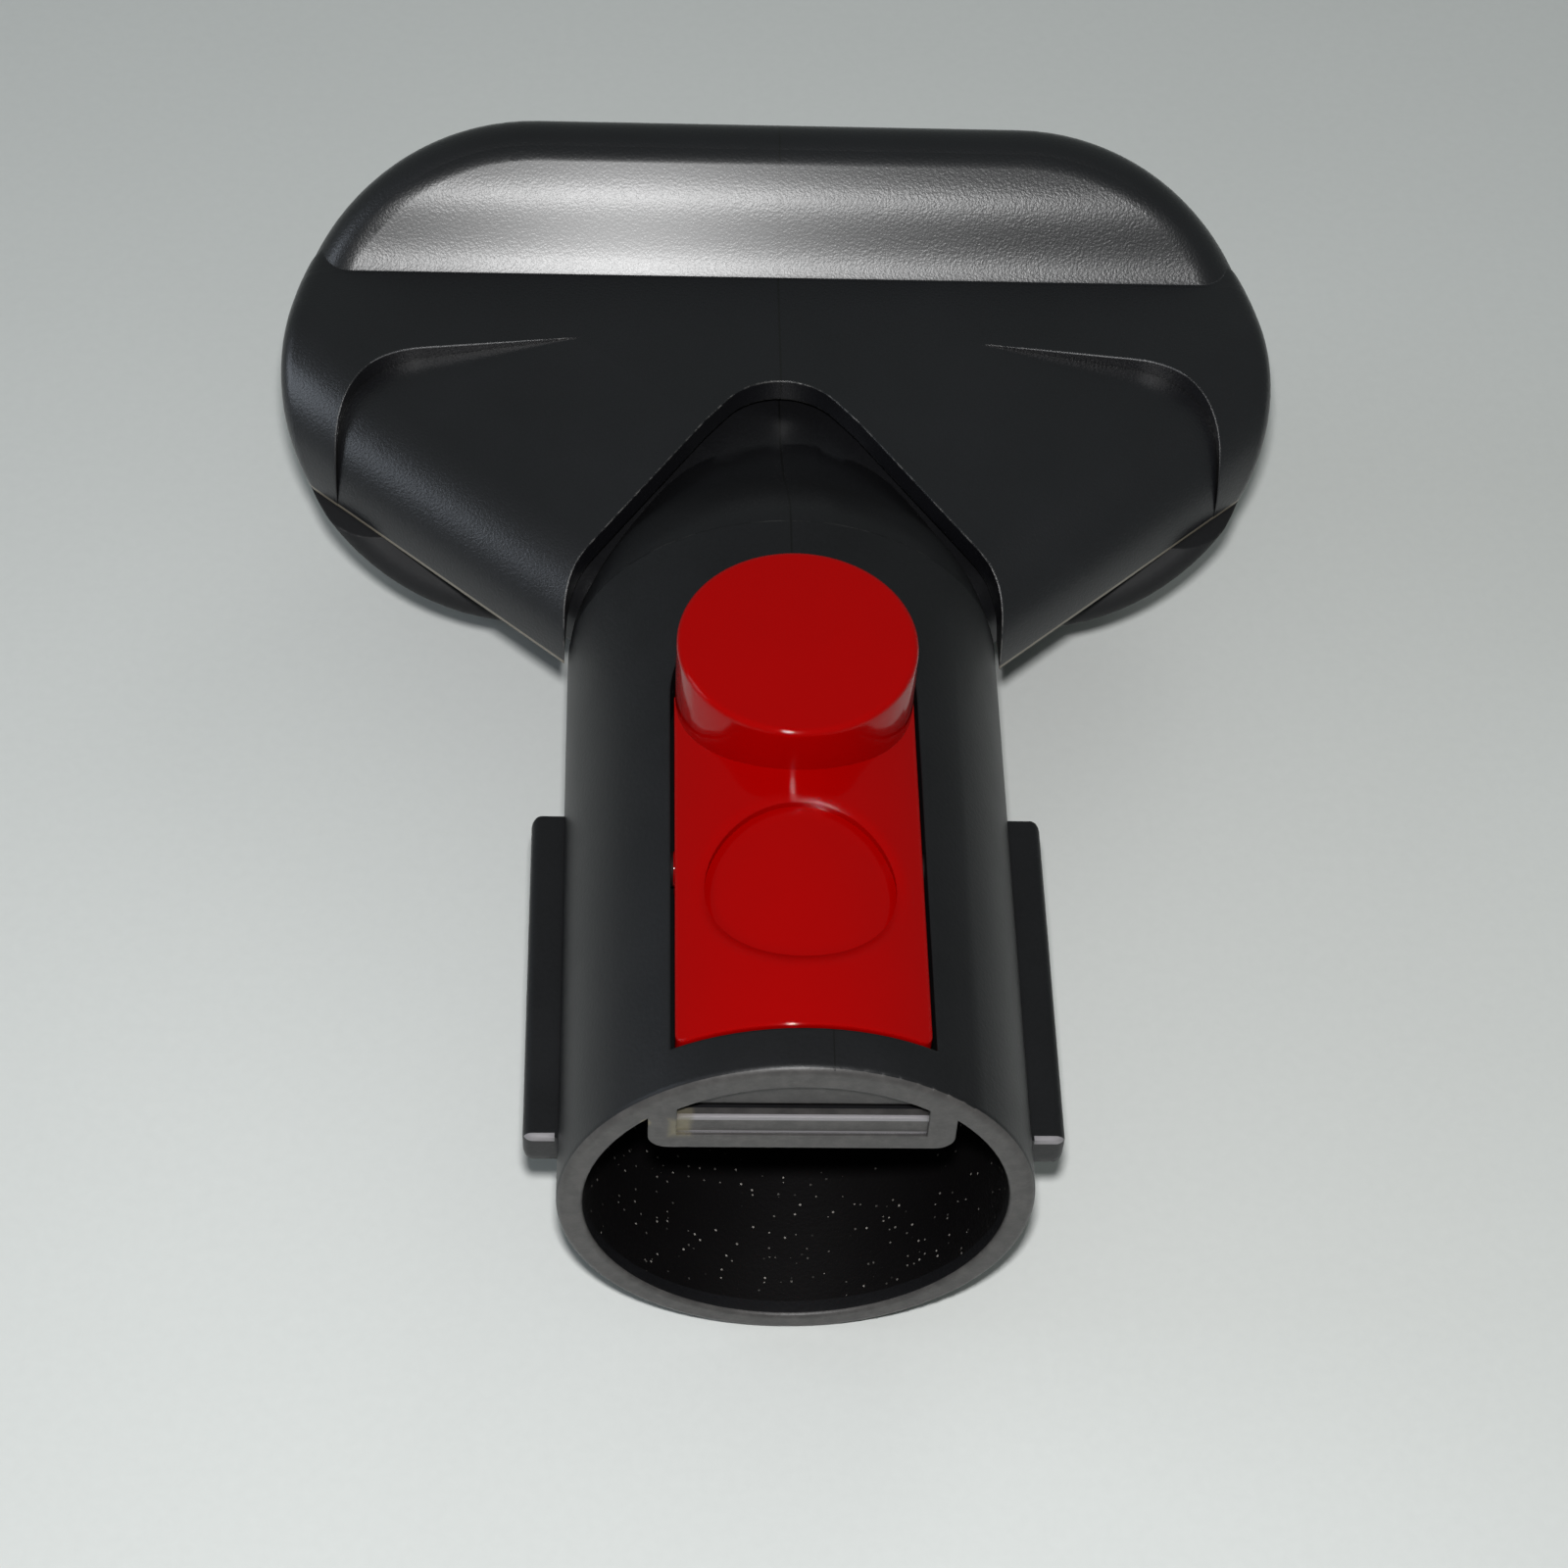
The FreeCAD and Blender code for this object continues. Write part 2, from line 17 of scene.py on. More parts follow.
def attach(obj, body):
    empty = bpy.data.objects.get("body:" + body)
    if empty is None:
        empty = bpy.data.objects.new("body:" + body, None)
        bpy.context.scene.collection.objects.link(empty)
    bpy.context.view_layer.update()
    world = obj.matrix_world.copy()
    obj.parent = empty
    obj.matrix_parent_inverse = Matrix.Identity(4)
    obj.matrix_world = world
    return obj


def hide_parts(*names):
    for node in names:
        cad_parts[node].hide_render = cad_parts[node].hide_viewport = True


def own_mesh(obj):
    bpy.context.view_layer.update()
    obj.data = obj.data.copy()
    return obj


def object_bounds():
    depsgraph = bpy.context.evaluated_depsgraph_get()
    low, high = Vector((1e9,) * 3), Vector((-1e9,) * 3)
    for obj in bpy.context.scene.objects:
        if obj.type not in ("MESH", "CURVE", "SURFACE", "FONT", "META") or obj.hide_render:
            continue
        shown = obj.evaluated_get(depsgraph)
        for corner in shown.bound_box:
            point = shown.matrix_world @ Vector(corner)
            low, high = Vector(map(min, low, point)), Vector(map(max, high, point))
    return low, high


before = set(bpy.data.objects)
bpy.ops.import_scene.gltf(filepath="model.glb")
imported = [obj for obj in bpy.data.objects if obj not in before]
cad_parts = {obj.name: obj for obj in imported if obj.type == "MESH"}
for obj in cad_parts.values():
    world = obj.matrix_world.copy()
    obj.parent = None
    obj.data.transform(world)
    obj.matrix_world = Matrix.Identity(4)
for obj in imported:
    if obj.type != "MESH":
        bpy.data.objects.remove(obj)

cad_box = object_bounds()
print("CAD box in mm:", [[round(value * 1000, 2) for value in corner] for corner in cad_box])

# %% [markdown]
# ## The camera
#
# A photograph fixes where the camera stood. The round mouth of the collar, its side rails and the
# long head were measured on the drawing, and together they give the place, the tilt and the lens.
# A camera could also be set by eye, but then each small error in the lens would show as a wrong
# proportion. Lengths here are metres, in the same frame as the CAD parts.

# %% Place the camera
camera_place = Vector((-0.015394, -0.161045, 0.254678))
pitch = math.radians(50.905)
yaw = math.radians(4.253)
roll = math.radians(3.928)
lens_length = 82.5
sensor_width = 36.0

looking = Vector((math.sin(yaw) * math.cos(pitch), math.cos(yaw) * math.cos(pitch), -math.sin(pitch)))
level_right = Vector((math.cos(yaw), -math.sin(yaw), 0))
level_up = level_right.cross(looking)
camera_right = math.cos(roll) * level_right + math.sin(roll) * level_up
camera_up = -math.sin(roll) * level_right + math.cos(roll) * level_up


def turned(right, up, back, place):
    """A matrix that turns an object to these three directions and puts it in its place."""
    matrix = Matrix((right, up, back)).transposed().to_4x4()
    matrix.translation = place
    return matrix


camera_data = bpy.data.cameras.new("photo_camera")
camera_data.lens = lens_length
camera_data.sensor_width = sensor_width
camera_data.clip_start = 0.01
camera = bpy.data.objects.new("photo_camera", camera_data)
camera.matrix_world = turned(camera_right, camera_up, -looking, camera_place)
bpy.context.scene.collection.objects.link(camera)
bpy.context.scene.camera = camera
print("Camera is", round((camera_place - Vector((0, 0.05, 0))).length * 1000), "mm from the brush")

# %% [markdown]
# ## The light
#
# The brush lies on a pale table under a small lamp beside the lens, with soft light from the whole
# room. The small lamp gives the narrow shadows and the bright sheen on the sloping back of the head,
# and a cooler window on the left draws a streak along the left wing.
# A large softbox alone would be kinder, but it would wash out that sheen. An area lamp can be small
# and still have soft edges, so it is better here than a point lamp.

# %% Hang the lamps
scene = bpy.context.scene
scene.view_settings.view_transform = "Standard"


def add_lamp(name, place, target, width, power):
    """An area lamp in its place, turned towards a target."""
    lamp = bpy.data.lights.new(name, "AREA")
    lamp.shape = "DISK"
    lamp.size = width
    lamp.energy = power
    lamp_object = bpy.data.objects.new(name, lamp)
    back = (place - target).normalized()
    right = Vector((0, 0, 1)).cross(back).normalized()
    lamp_object.matrix_world = turned(right, back.cross(right), back, place)
    scene.collection.objects.link(lamp_object)
    return lamp_object


brush_middle = Vector((0, 0.06, 0))
above_lens = camera_place + camera_up * 0.022
add_lamp("lens_lamp", above_lens, brush_middle, width=0.016, power=1.0)
behind_brush = Vector((0.35, 0.75, 0.55))
back_softbox = add_lamp("back_softbox", behind_brush, brush_middle, width=0.45, power=0.6)
# The back softbox only fills the shadows, so no shiny part mirrors it
back_softbox.visible_glossy = False
left_of_brush = Vector((-0.75, 0.10, 0.35))
left_window = add_lamp("left_window", left_of_brush, brush_middle, width=0.35, power=1.1)
left_window.data.color = (0.80, 0.88, 1.0)

room = bpy.data.worlds.new("room")
scene.world = room
room.use_nodes = True
room_light = room.node_tree.nodes["Background"]
room_light.inputs["Color"].default_value = (0.90, 1.0, 0.97, 1)
room_light.inputs["Strength"].default_value = 0.17

# %% [markdown]
# ## Shader groups: one effect, built once
#
# Several finishes on the brush share an effect, such as the grain of moulded plastic or the pale
# wear on its edges. A node group holds one such effect, and each material sets its own values on it.
# Copying the nodes into each material would also work, but then a change has to be made many times.
# The patterns read Object coordinates, so they stay on the plastic when a piece moves.

# %% Helpers that add nodes and sockets


def add_node(tree, kind, **values):
    """Adds a node of one kind and sets its plain properties."""
    node = tree.nodes.new(kind)
    for key, value in values.items():
        setattr(node, key, value)
    return node


def set_inputs(node, values):
    """Sets or links the inputs of a node. A socket is linked, and a number is set."""
    for key, value in values.items():
        if isinstance(value, bpy.types.NodeSocket):
            node.id_data.links.new(value, node.inputs[key])
        else:
            node.inputs[key].default_value = value
    return node


def math_node(tree, operation, first, second=0.0, third=0.0, clamp=False):
    """One step of arithmetic. Gives its result's socket."""
    node = add_node(tree, "ShaderNodeMath", operation=operation, use_clamp=clamp)
    return set_inputs(node, {0: first, 1: second, 2: third}).outputs[0]


def ramp_between(tree, value, low, high):
    """0 below low, 1 above high, and a soft step between them."""
    node = add_node(tree, "ShaderNodeMapRange", interpolation_type="SMOOTHSTEP")
    set_inputs(node, {"Value": value, "From Min": low, "From Max": high})
    return node.outputs["Result"]


def falling_ramp(tree, value, low, high):
    """1 below low, 0 above high, and a soft step between them."""
    return math_node(tree, "SUBTRACT", 1.0, ramp_between(tree, value, low, high))


def distance_from(tree, value, middle):
    """How far a coordinate is from a middle, on either side of it."""
    return math_node(tree, "ABSOLUTE", math_node(tree, "SUBTRACT", value, middle))


def object_axes(tree):
    """The object coordinates and their three parts."""
    coordinates = add_node(tree, "ShaderNodeTexCoord")
    parts = add_node(tree, "ShaderNodeSeparateXYZ")
    tree.links.new(coordinates.outputs["Object"], parts.inputs[0])
    return coordinates.outputs["Object"], parts.outputs["X"], parts.outputs["Y"], parts.outputs["Z"]


def new_group(name, inputs, outputs):
    """An empty shader group with named inputs and outputs. Gives the group and its end nodes."""
    group = bpy.data.node_groups.new(name, "ShaderNodeTree")
    for socket_name, kind, value in inputs:
        socket = group.interface.new_socket(name=socket_name, in_out="INPUT", socket_type=kind)
        socket.default_value = value
    for socket_name, kind in outputs:
        group.interface.new_socket(name=socket_name, in_out="OUTPUT", socket_type=kind)
    return group, group.nodes.new("NodeGroupInput"), group.nodes.new("NodeGroupOutput")


FLOAT = "NodeSocketFloat"
COLOUR = "NodeSocketColor"

# %% [markdown]
# ### Grain of moulded plastic
#
# The mould of a matt plastic part is etched, so the plastic has a fine pebbled grain that scatters
# the light. It also has slow blotches, where it is a little more or less shiny. Two noise patterns
# give both: a fine one for the height, and a slow one for the colour and the roughness.

# %% Build the grain group
grain_group, grain_in, grain_out = new_group(
    "moulded_grain",
    [("Plastic colour", COLOUR, (0.02, 0.02, 0.02, 1)), ("Colour variation", FLOAT, 0.1),
     ("Grain scale", FLOAT, 2500.0), ("Blotch scale", FLOAT, 160.0),
     ("Roughness", FLOAT, 0.5), ("Roughness variation", FLOAT, 0.05)],
    [("Colour", COLOUR), ("Roughness", FLOAT), ("Height", FLOAT)])
grain_place, _, _, _ = object_axes(grain_group)
fine_grain = set_inputs(add_node(grain_group, "ShaderNodeTexNoise"), {
    "Vector": grain_place, "Scale": grain_in.outputs["Grain scale"], "Detail": 2.0, "Roughness": 0.6})
slow_blotch = set_inputs(add_node(grain_group, "ShaderNodeTexNoise"), {
    "Vector": grain_place, "Scale": grain_in.outputs["Blotch scale"], "Detail": 3.0, "Roughness": 0.55})
blotch = math_node(grain_group, "SUBTRACT", slow_blotch.outputs[0], 0.5)
grain_level = math_node(grain_group, "SUBTRACT", fine_grain.outputs[0], 0.5)
both_patterns = math_node(grain_group, "ADD", blotch, grain_level)
colour_swing = math_node(grain_group, "MULTIPLY", both_patterns, grain_in.outputs["Colour variation"])
colour_gain = math_node(grain_group, "ADD", colour_swing, 1.0)
tinted = add_node(grain_group, "ShaderNodeVectorMath", operation="SCALE")
set_inputs(tinted, {0: grain_in.outputs["Plastic colour"], "Scale": colour_gain})
roughness_swing = math_node(grain_group, "MULTIPLY", blotch, grain_in.outputs["Roughness variation"])
set_inputs(grain_out, {
    "Colour": tinted.outputs[0],
    "Roughness": math_node(grain_group, "ADD", grain_in.outputs["Roughness"], roughness_swing),
    "Height": fine_grain.outputs[0]})

# %% [markdown]
# ### Worn edges
#
# Handling rubs the corners of dark plastic pale. A corner is where the rounded normal of the Bevel
# node differs from the true one. Inside corners aren't rubbed, and there the surface hides a part
# of its own surroundings, so ambient occlusion takes them out. A slow noise breaks the line up. The
# same occlusion also finds the creases, and gives the mask for painted shade in them.

# %% Build the edge wear group
wear_group, wear_in, wear_out = new_group(
    "edge_wear",
    [("Corner radius", FLOAT, 0.0004), ("Amount", FLOAT, 0.5), ("Patch scale", FLOAT, 260.0)],
    [("Wear", FLOAT), ("Corner", FLOAT), ("Crease shade", FLOAT), ("Rounded normal", "NodeSocketVector")])
openness = add_node(wear_group, "ShaderNodeAmbientOcclusion", samples=4, only_local=True)
set_inputs(openness, {"Distance": 0.0012})
outside_corner = ramp_between(wear_group, openness.outputs["AO"], low=0.72, high=0.95)
# Only an outside corner is rounded, so a crease stays a fine dark line
open_radius = math_node(wear_group, "MULTIPLY", wear_in.outputs["Corner radius"], outside_corner)
round_corner = add_node(wear_group, "ShaderNodeBevel", samples=6)
wear_group.links.new(open_radius, round_corner.inputs["Radius"])
true_surface = add_node(wear_group, "ShaderNodeNewGeometry")
agreement = add_node(wear_group, "ShaderNodeVectorMath", operation="DOT_PRODUCT")
set_inputs(agreement, {0: round_corner.outputs[0], 1: true_surface.outputs["Normal"]})
disagreement = math_node(wear_group, "SUBTRACT", 1.0, agreement.outputs["Value"])
corner = ramp_between(wear_group, disagreement, low=0.02, high=0.16)
wear_place, _, _, _ = object_axes(wear_group)
wear_noise = set_inputs(add_node(wear_group, "ShaderNodeTexNoise"), {
    "Vector": wear_place, "Scale": wear_in.outputs["Patch scale"], "Detail": 4.0, "Roughness": 0.7})
rubbed = ramp_between(wear_group, wear_noise.outputs[0], low=0.42, high=0.62)
open_corner = math_node(wear_group, "MULTIPLY", corner, outside_corner)
wear_value = math_node(wear_group, "MULTIPLY", open_corner, rubbed)
set_inputs(wear_out, {
    "Wear": math_node(wear_group, "MULTIPLY", wear_value, wear_in.outputs["Amount"], clamp=True),
    "Corner": open_corner,
    # The creases' mask, where shade is painted into them
    "Crease shade": falling_ramp(wear_group, openness.outputs["AO"], low=0.35, high=0.62),
    "Rounded normal": round_corner.outputs[0]})

# %% [markdown]
# ### Dust
#
# A used vacuum tool always holds a little pale dust. A Voronoi pattern has one cell for each speck,
# and a random number of that cell says whether the speck is there. A noise would give clouds, not
# separate specks.

# %% Build the dust group
dust_group, dust_in, dust_out = new_group(
    "dust_specks",
    [("Speck scale", FLOAT, 1100.0), ("Speck size", FLOAT, 0.16), ("Share of specks", FLOAT, 0.1)],
    [("Dust", FLOAT)])
dust_place, _, _, _ = object_axes(dust_group)
speck_cells = add_node(dust_group, "ShaderNodeTexVoronoi", feature="F1")
set_inputs(speck_cells, {
    "Vector": dust_place, "Scale": dust_in.outputs["Speck scale"], "Randomness": 1.0})
speck_random = add_node(dust_group, "ShaderNodeSeparateColor")
dust_group.links.new(speck_cells.outputs["Color"], speck_random.inputs[0])
share_of_specks = dust_in.outputs["Share of specks"]
is_present = math_node(dust_group, "LESS_THAN", speck_random.outputs[0], share_of_specks)
from_cell_middle = speck_cells.outputs["Distance"]
in_speck = math_node(dust_group, "LESS_THAN", from_cell_middle, dust_in.outputs["Speck size"])
speck_mask = math_node(dust_group, "MULTIPLY", is_present, in_speck)
speck_strength = math_node(dust_group, "MULTIPLY", speck_mask, speck_random.outputs[1])
dust_group.links.new(speck_strength, dust_out.inputs["Dust"])

# %% [markdown]
# ### Parting line
#
# Where the two halves of a mould meet, the plastic keeps a hair-thin line. It runs along the middle
# of this brush. The line is a place on the X axis, between two places on the Y axis and above a
# level, so plain arithmetic on the coordinates draws it.

# %% Build the parting line group
line_group, line_in, line_out = new_group(
    "parting_line",
    [("Line X", FLOAT, 0.0), ("Half width", FLOAT, 0.00009),
     ("From Y", FLOAT, 0.0), ("To Y", FLOAT, 1.0), ("Above Z", FLOAT, 0.0)],
    [("Line", FLOAT)])
_, line_x, line_y, line_z = object_axes(line_group)
off_line = distance_from(line_group, line_x, line_in.outputs["Line X"])
in_width = math_node(line_group, "LESS_THAN", off_line, line_in.outputs["Half width"])
after_start = math_node(line_group, "GREATER_THAN", line_y, line_in.outputs["From Y"])
before_end = math_node(line_group, "LESS_THAN", line_y, line_in.outputs["To Y"])
high_enough = math_node(line_group, "GREATER_THAN", line_z, line_in.outputs["Above Z"])
in_run = math_node(line_group, "MULTIPLY", after_start, before_end)
high_in_run = math_node(line_group, "MULTIPLY", in_run, high_enough)
on_line = math_node(line_group, "MULTIPLY", in_width, high_in_run)
line_group.links.new(on_line, line_out.inputs["Line"])
print("Shader groups:", [group.name for group in bpy.data.node_groups])

# %% [markdown]
# ## The dark plastic of the body and of the cover
#
# Body and cover are both moulded in near-black plastic with a matt grain. The material starts with
# the grain group, lays the worn edges, the parting line, the marks of use and some painted highlights
# and shade over it, and sends the heights through one Bump node. The gloss numbers that are the same
# everywhere are set on the shader itself. A mark that sits in one place, such as the painted highlight
# on the lip, could be painted on an image, but plain arithmetic on the coordinates needs no image and
# no unwrapping.

# %% Helpers for a moulded material


def use_group(tree, group, values):
    """Places a node group in a material and gives its inputs their values."""
    node = add_node(tree, "ShaderNodeGroup", node_tree=group)
    return set_inputs(node, values)


def lay_over(tree, under, colour, mask):
    """Lays a plain colour over another colour where the mask is white."""
    node = add_node(tree, "ShaderNodeMix", data_type="RGBA")
    node.inputs[0].default_value = 0.0
    tree.links.new(mask, node.inputs[0])
    tree.links.new(under, node.inputs[6])
    node.inputs[7].default_value = (*colour, 1)
    return node.outputs[2]


def new_finish(name):
    """A new material with an empty shader. Gives the material, its tree and its shader."""
    material = bpy.data.materials.new(name)
    material.use_nodes = True
    return material, material.node_tree, material.node_tree.nodes["Principled BSDF"]


def bump_from(tree, height, depth, distance, normal=None):
    """A Bump node that turns a height into a normal."""
    node = add_node(tree, "ShaderNodeBump")
    set_inputs(node, {"Strength": depth, "Distance": distance, "Height": height})
    if normal is not None:
        tree.links.new(normal, node.inputs["Normal"])
    return node.outputs[0]


def finish_shader(shader, colour, roughness, normal, specular):
    """Feeds the shader with its patterns and sets its one plain gloss number."""
    tree = shader.id_data
    tree.links.new(colour, shader.inputs["Base Color"])
    tree.links.new(roughness, shader.inputs["Roughness"])
    tree.links.new(normal, shader.inputs["Normal"])
    shader.inputs["Specular IOR Level"].default_value = specular


# %% Helpers for a place on a part


def above(tree, value, level):
    """1 where a coordinate is above a level, 0 elsewhere."""
    return math_node(tree, "GREATER_THAN", value, level)


def below(tree, value, level):
    """1 where a coordinate is below a level, 0 elsewhere."""
    return math_node(tree, "LESS_THAN", value, level)


def both(tree, first, second):
    """The overlap of two masks."""
    return math_node(tree, "MULTIPLY", first, second)


def either(tree, first, second):
    """The union of two masks."""
    return math_node(tree, "MAXIMUM", first, second)


def outside_of(tree, mask):
    """The rest of the surface, where a mask isn't."""
    return math_node(tree, "SUBTRACT", 1.0, mask)


def inside_span(tree, value, low, high):
    """1 where a coordinate lies between two values, 0 elsewhere."""
    return both(tree, above(tree, value, low), below(tree, value, high))


def squares_added(tree, first, second):
    """The sum of the squares of two coordinates."""
    first_square = math_node(tree, "MULTIPLY", first, first)
    second_square = math_node(tree, "MULTIPLY", second, second)
    return math_node(tree, "ADD", first_square, second_square)


def round_spot(tree, place, middle, full, faded):
    """1 near a middle, fading to 0 at a distance."""
    distance = add_node(tree, "ShaderNodeVectorMath", operation="DISTANCE")
    set_inputs(distance, {0: place, 1: middle})
    return falling_ramp(tree, distance.outputs["Value"], full, faded)

# %% Start the body's plastic
worn_grey = (0.16, 0.155, 0.15)
# A grey for the mouth's scuffs, whose lightness is also painted reflection
scuff_and_reflection_grey = (0.068, 0.064, 0.062)
dust_grey = (0.30, 0.28, 0.26)
# This dark draws the parting lines, and is also the painted shade in the creases
line_and_shade_dark = (0.002, 0.002, 0.002)
# The colour of the painted shade inside the bore
bore_shade_black = (0.0022, 0.0018, 0.0020)
# A light grey for painted highlights
highlight_grey = (0.23, 0.22, 0.23)
glue_yellow = (0.155, 0.135, 0.085)

body_plastic, body_tree, body_shader = new_finish("body_plastic")
body_place, body_x, body_y, body_z = object_axes(body_tree)
body_side = math_node(body_tree, "ABSOLUTE", body_x)
across = math_node(body_tree, "SQRT", squares_added(body_tree, body_x, body_z))

# The guide rails end in a softer rounding than the other corners have
rail_side = 0.0202
rail_tip_depth = 0.0080
plain_rounding = 0.0003
extra_rounding = 0.0006
rail_tip = both(body_tree, above(body_tree, body_side, rail_side),
                below(body_tree, body_y, rail_tip_depth))
corner_radius = math_node(body_tree, "MULTIPLY_ADD", rail_tip, extra_rounding, plain_rounding)

body_grain = use_group(body_tree, grain_group, {
    "Plastic colour": (0.0055, 0.0055, 0.0065, 1), "Colour variation": 0.6, "Grain scale": 2600.0,
    "Blotch scale": 120.0, "Roughness": 0.44, "Roughness variation": 0.10})
body_wear = use_group(body_tree, wear_group, {
    "Corner radius": corner_radius, "Amount": 0.45, "Patch scale": 300.0})
neck_line = use_group(body_tree, line_group, {
    "Line X": 0.0, "Half width": 0.00009, "From Y": 0.0535, "To Y": 0.0870, "Above Z": 0.0})
mouth_line = use_group(body_tree, line_group, {
    "Line X": 0.0022, "Half width": 0.00006, "From Y": 0.0002, "To Y": 0.0041, "Above Z": 0.0185})
body_lines = either(body_tree, neck_line.outputs["Line"], mouth_line.outputs["Line"])

# %% [markdown]
# ### Where the body gets painted shade, dust or painted highlights
#
# Light hardly reaches into the bore, so it gets painted shade, and dust stays in it. The rails' near
# ends get a painted highlight along their top edges, and no hand reaches the walls of the button's
# slot. Each of these places could be a material of its own, but one material with a mask for each
# keeps the moulding whole, as the real one is.

# %% Mark the bore, the rails' ends and the slot
# The bore is painted darker than the outside as shade, with fine specks of dust
bore_reach = 0.01788
bore_start = 0.0015
bore_end = 0.0575
inside_bore = both(body_tree, below(body_tree, across, bore_reach),
                   inside_span(body_tree, body_y, bore_start, bore_end))
body_dust = use_group(body_tree, dust_group, {
    "Speck scale": 2100.0, "Speck size": 0.22, "Share of specks": 0.16})
bore_dust = both(body_tree, body_dust.outputs["Dust"], inside_bore)

# The near end of each guide rail gets a painted highlight along its rounded top edge
rail_edge_depth = 0.0061
rail_edge_level = 0.0011
rail_edge_highlight = both(body_tree, rail_tip, both(
    body_tree, below(body_tree, body_y, rail_edge_depth), above(body_tree, body_z, rail_edge_level)))

# No hand reaches the walls of the button's slot, so they keep no wear
slot_side = 0.0125
slot_start = 0.0030
slot_end = 0.0560
in_slot = both(body_tree, below(body_tree, body_side, slot_side),
               inside_span(body_tree, body_y, slot_start, slot_end))
handled = both(body_tree, body_wear.outputs["Wear"], outside_of(body_tree, in_slot))

# The skirt under the wings is duller than the rest
skirt_side = 0.0215
skirt_dullness = 0.26
skirt = both(body_tree, above(body_tree, body_side, skirt_side), above(body_tree, body_y, bore_end))

# %% [markdown]
# ### The mouth
#
# The wand slides in and out of the mouth, so its front faces are scuffed, and their lighter grey is
# also painted reflection of the bright table in front. The lip in its window gets painted highlights
# along its rounded edges. A smear of glue has dried on the lip's left end. A noise breaks up the
# scuffs and the smear, because even patches would look painted.

# %% Mark the scuffed mouth and its lip
# The mouth's front faces are scuffed by the wand that slides in and out, and their lighter grey
# is also painted reflection of the bright table in front
front_depth = 0.00035
window_start = 0.00025
window_end = 0.0012
window_level = 0.0088
window_reach = 0.0179
window_share = 0.75
least_scuff = 0.65
scuff_noise = set_inputs(add_node(body_tree, "ShaderNodeTexNoise"), {
    "Vector": body_place, "Scale": 700.0, "Detail": 4.0, "Roughness": 0.65})
scuff_patches = ramp_between(body_tree, scuff_noise.outputs[0], low=0.35, high=0.70)
scuff_share = math_node(body_tree, "MULTIPLY_ADD", scuff_patches, 1.0 - least_scuff, least_scuff)
front_face = below(body_tree, body_y, front_depth)
window_face = both(body_tree, above(body_tree, body_z, window_level),
                   inside_span(body_tree, body_y, window_start, window_end))
window_face = both(body_tree, window_face, below(body_tree, across, window_reach))
window_scuff = math_node(body_tree, "MULTIPLY", window_face, window_share)
scuffed_and_reflecting = both(body_tree, either(body_tree, front_face, window_scuff), scuff_share)

# The lip in the mouth's window gets painted highlights along its top and bottom edges
lip_side = 0.0102
lip_depth = 0.00060
top_band = (0.01242, 0.01290)
bottom_band = (0.01062, 0.01092)
lip_face = both(body_tree, window_face, below(body_tree, body_side, lip_side))
lip_top = both(body_tree, inside_span(body_tree, body_z, *top_band),
               below(body_tree, body_y, lip_depth))
lip_bottom = inside_span(body_tree, body_z, *bottom_band)
lip_highlights = both(body_tree, lip_face, either(body_tree, lip_top, lip_bottom))

# A dried smear of pale glue lies at the left end of the lip, and a small burr beside it
smear_x = -0.0099
smear_z = 0.0117
smear_squeeze = 1.3
smear_wander = 0.0016
smear_full = 0.0014
smear_faded = 0.0024
off_smear_x = math_node(body_tree, "MULTIPLY", distance_from(body_tree, body_x, smear_x), smear_squeeze)
off_smear_z = distance_from(body_tree, body_z, smear_z)
off_smear = math_node(body_tree, "MAXIMUM", off_smear_x, off_smear_z)
ragged_smear = math_node(body_tree, "MULTIPLY_ADD", scuff_noise.outputs[0], smear_wander, off_smear)
smear_mask = falling_ramp(body_tree, ragged_smear, smear_full, smear_faded)
patchy_smear = both(body_tree, smear_mask, scuff_share)
smear = both(body_tree, patchy_smear, below(body_tree, body_y, window_end))
burr_place = (-0.0127, 0.0, 0.0124)
burr = round_spot(body_tree, body_place, burr_place, full=0.0002, faded=0.0006)

# %% [markdown]
# ### The layers of the body's plastic
#
# Each mark is laid over the ones before it, as coats of paint are, so the order matters. The painted
# shade of the bore hides the scuffs, the dust lies on it, and the dark lines and the painted crease
# shade cut through them all.

# %% Lay the layers of the body's plastic
# The parting lines are dark joints, and the creases get painted shade
body_lines_and_shade = either(body_tree, body_lines, body_wear.outputs["Crease shade"])
body_highlights = either(body_tree, lip_highlights, rail_edge_highlight)
body_colour = lay_over(body_tree, body_grain.outputs["Colour"], worn_grey, handled)
# Scuffs on the mouth's front faces, lighter also as painted reflection
body_colour = lay_over(body_tree, body_colour, scuff_and_reflection_grey, scuffed_and_reflecting)
# Painted highlights on the lip's edges and on the rails' near ends
body_colour = lay_over(body_tree, body_colour, highlight_grey, body_highlights)
# Painted shade inside the bore
body_colour = lay_over(body_tree, body_colour, bore_shade_black, inside_bore)
body_colour = lay_over(body_tree, body_colour, dust_grey, bore_dust)
body_colour = lay_over(body_tree, body_colour, line_and_shade_dark, body_lines_and_shade)
body_colour = lay_over(body_tree, body_colour, glue_yellow, either(body_tree, smear, burr))
body_roughness = math_node(body_tree, "MULTIPLY_ADD", skirt, skirt_dullness,
                           body_grain.outputs["Roughness"])
body_height = math_node(body_tree, "SUBTRACT", body_grain.outputs["Height"], body_lines)
body_normal = bump_from(body_tree, body_height, depth=0.35, distance=0.00006,
                        normal=body_wear.outputs["Rounded normal"])
finish_shader(body_shader, body_colour, body_roughness, body_normal, specular=0.4)
print("The body's plastic has", len(body_tree.nodes), "nodes")
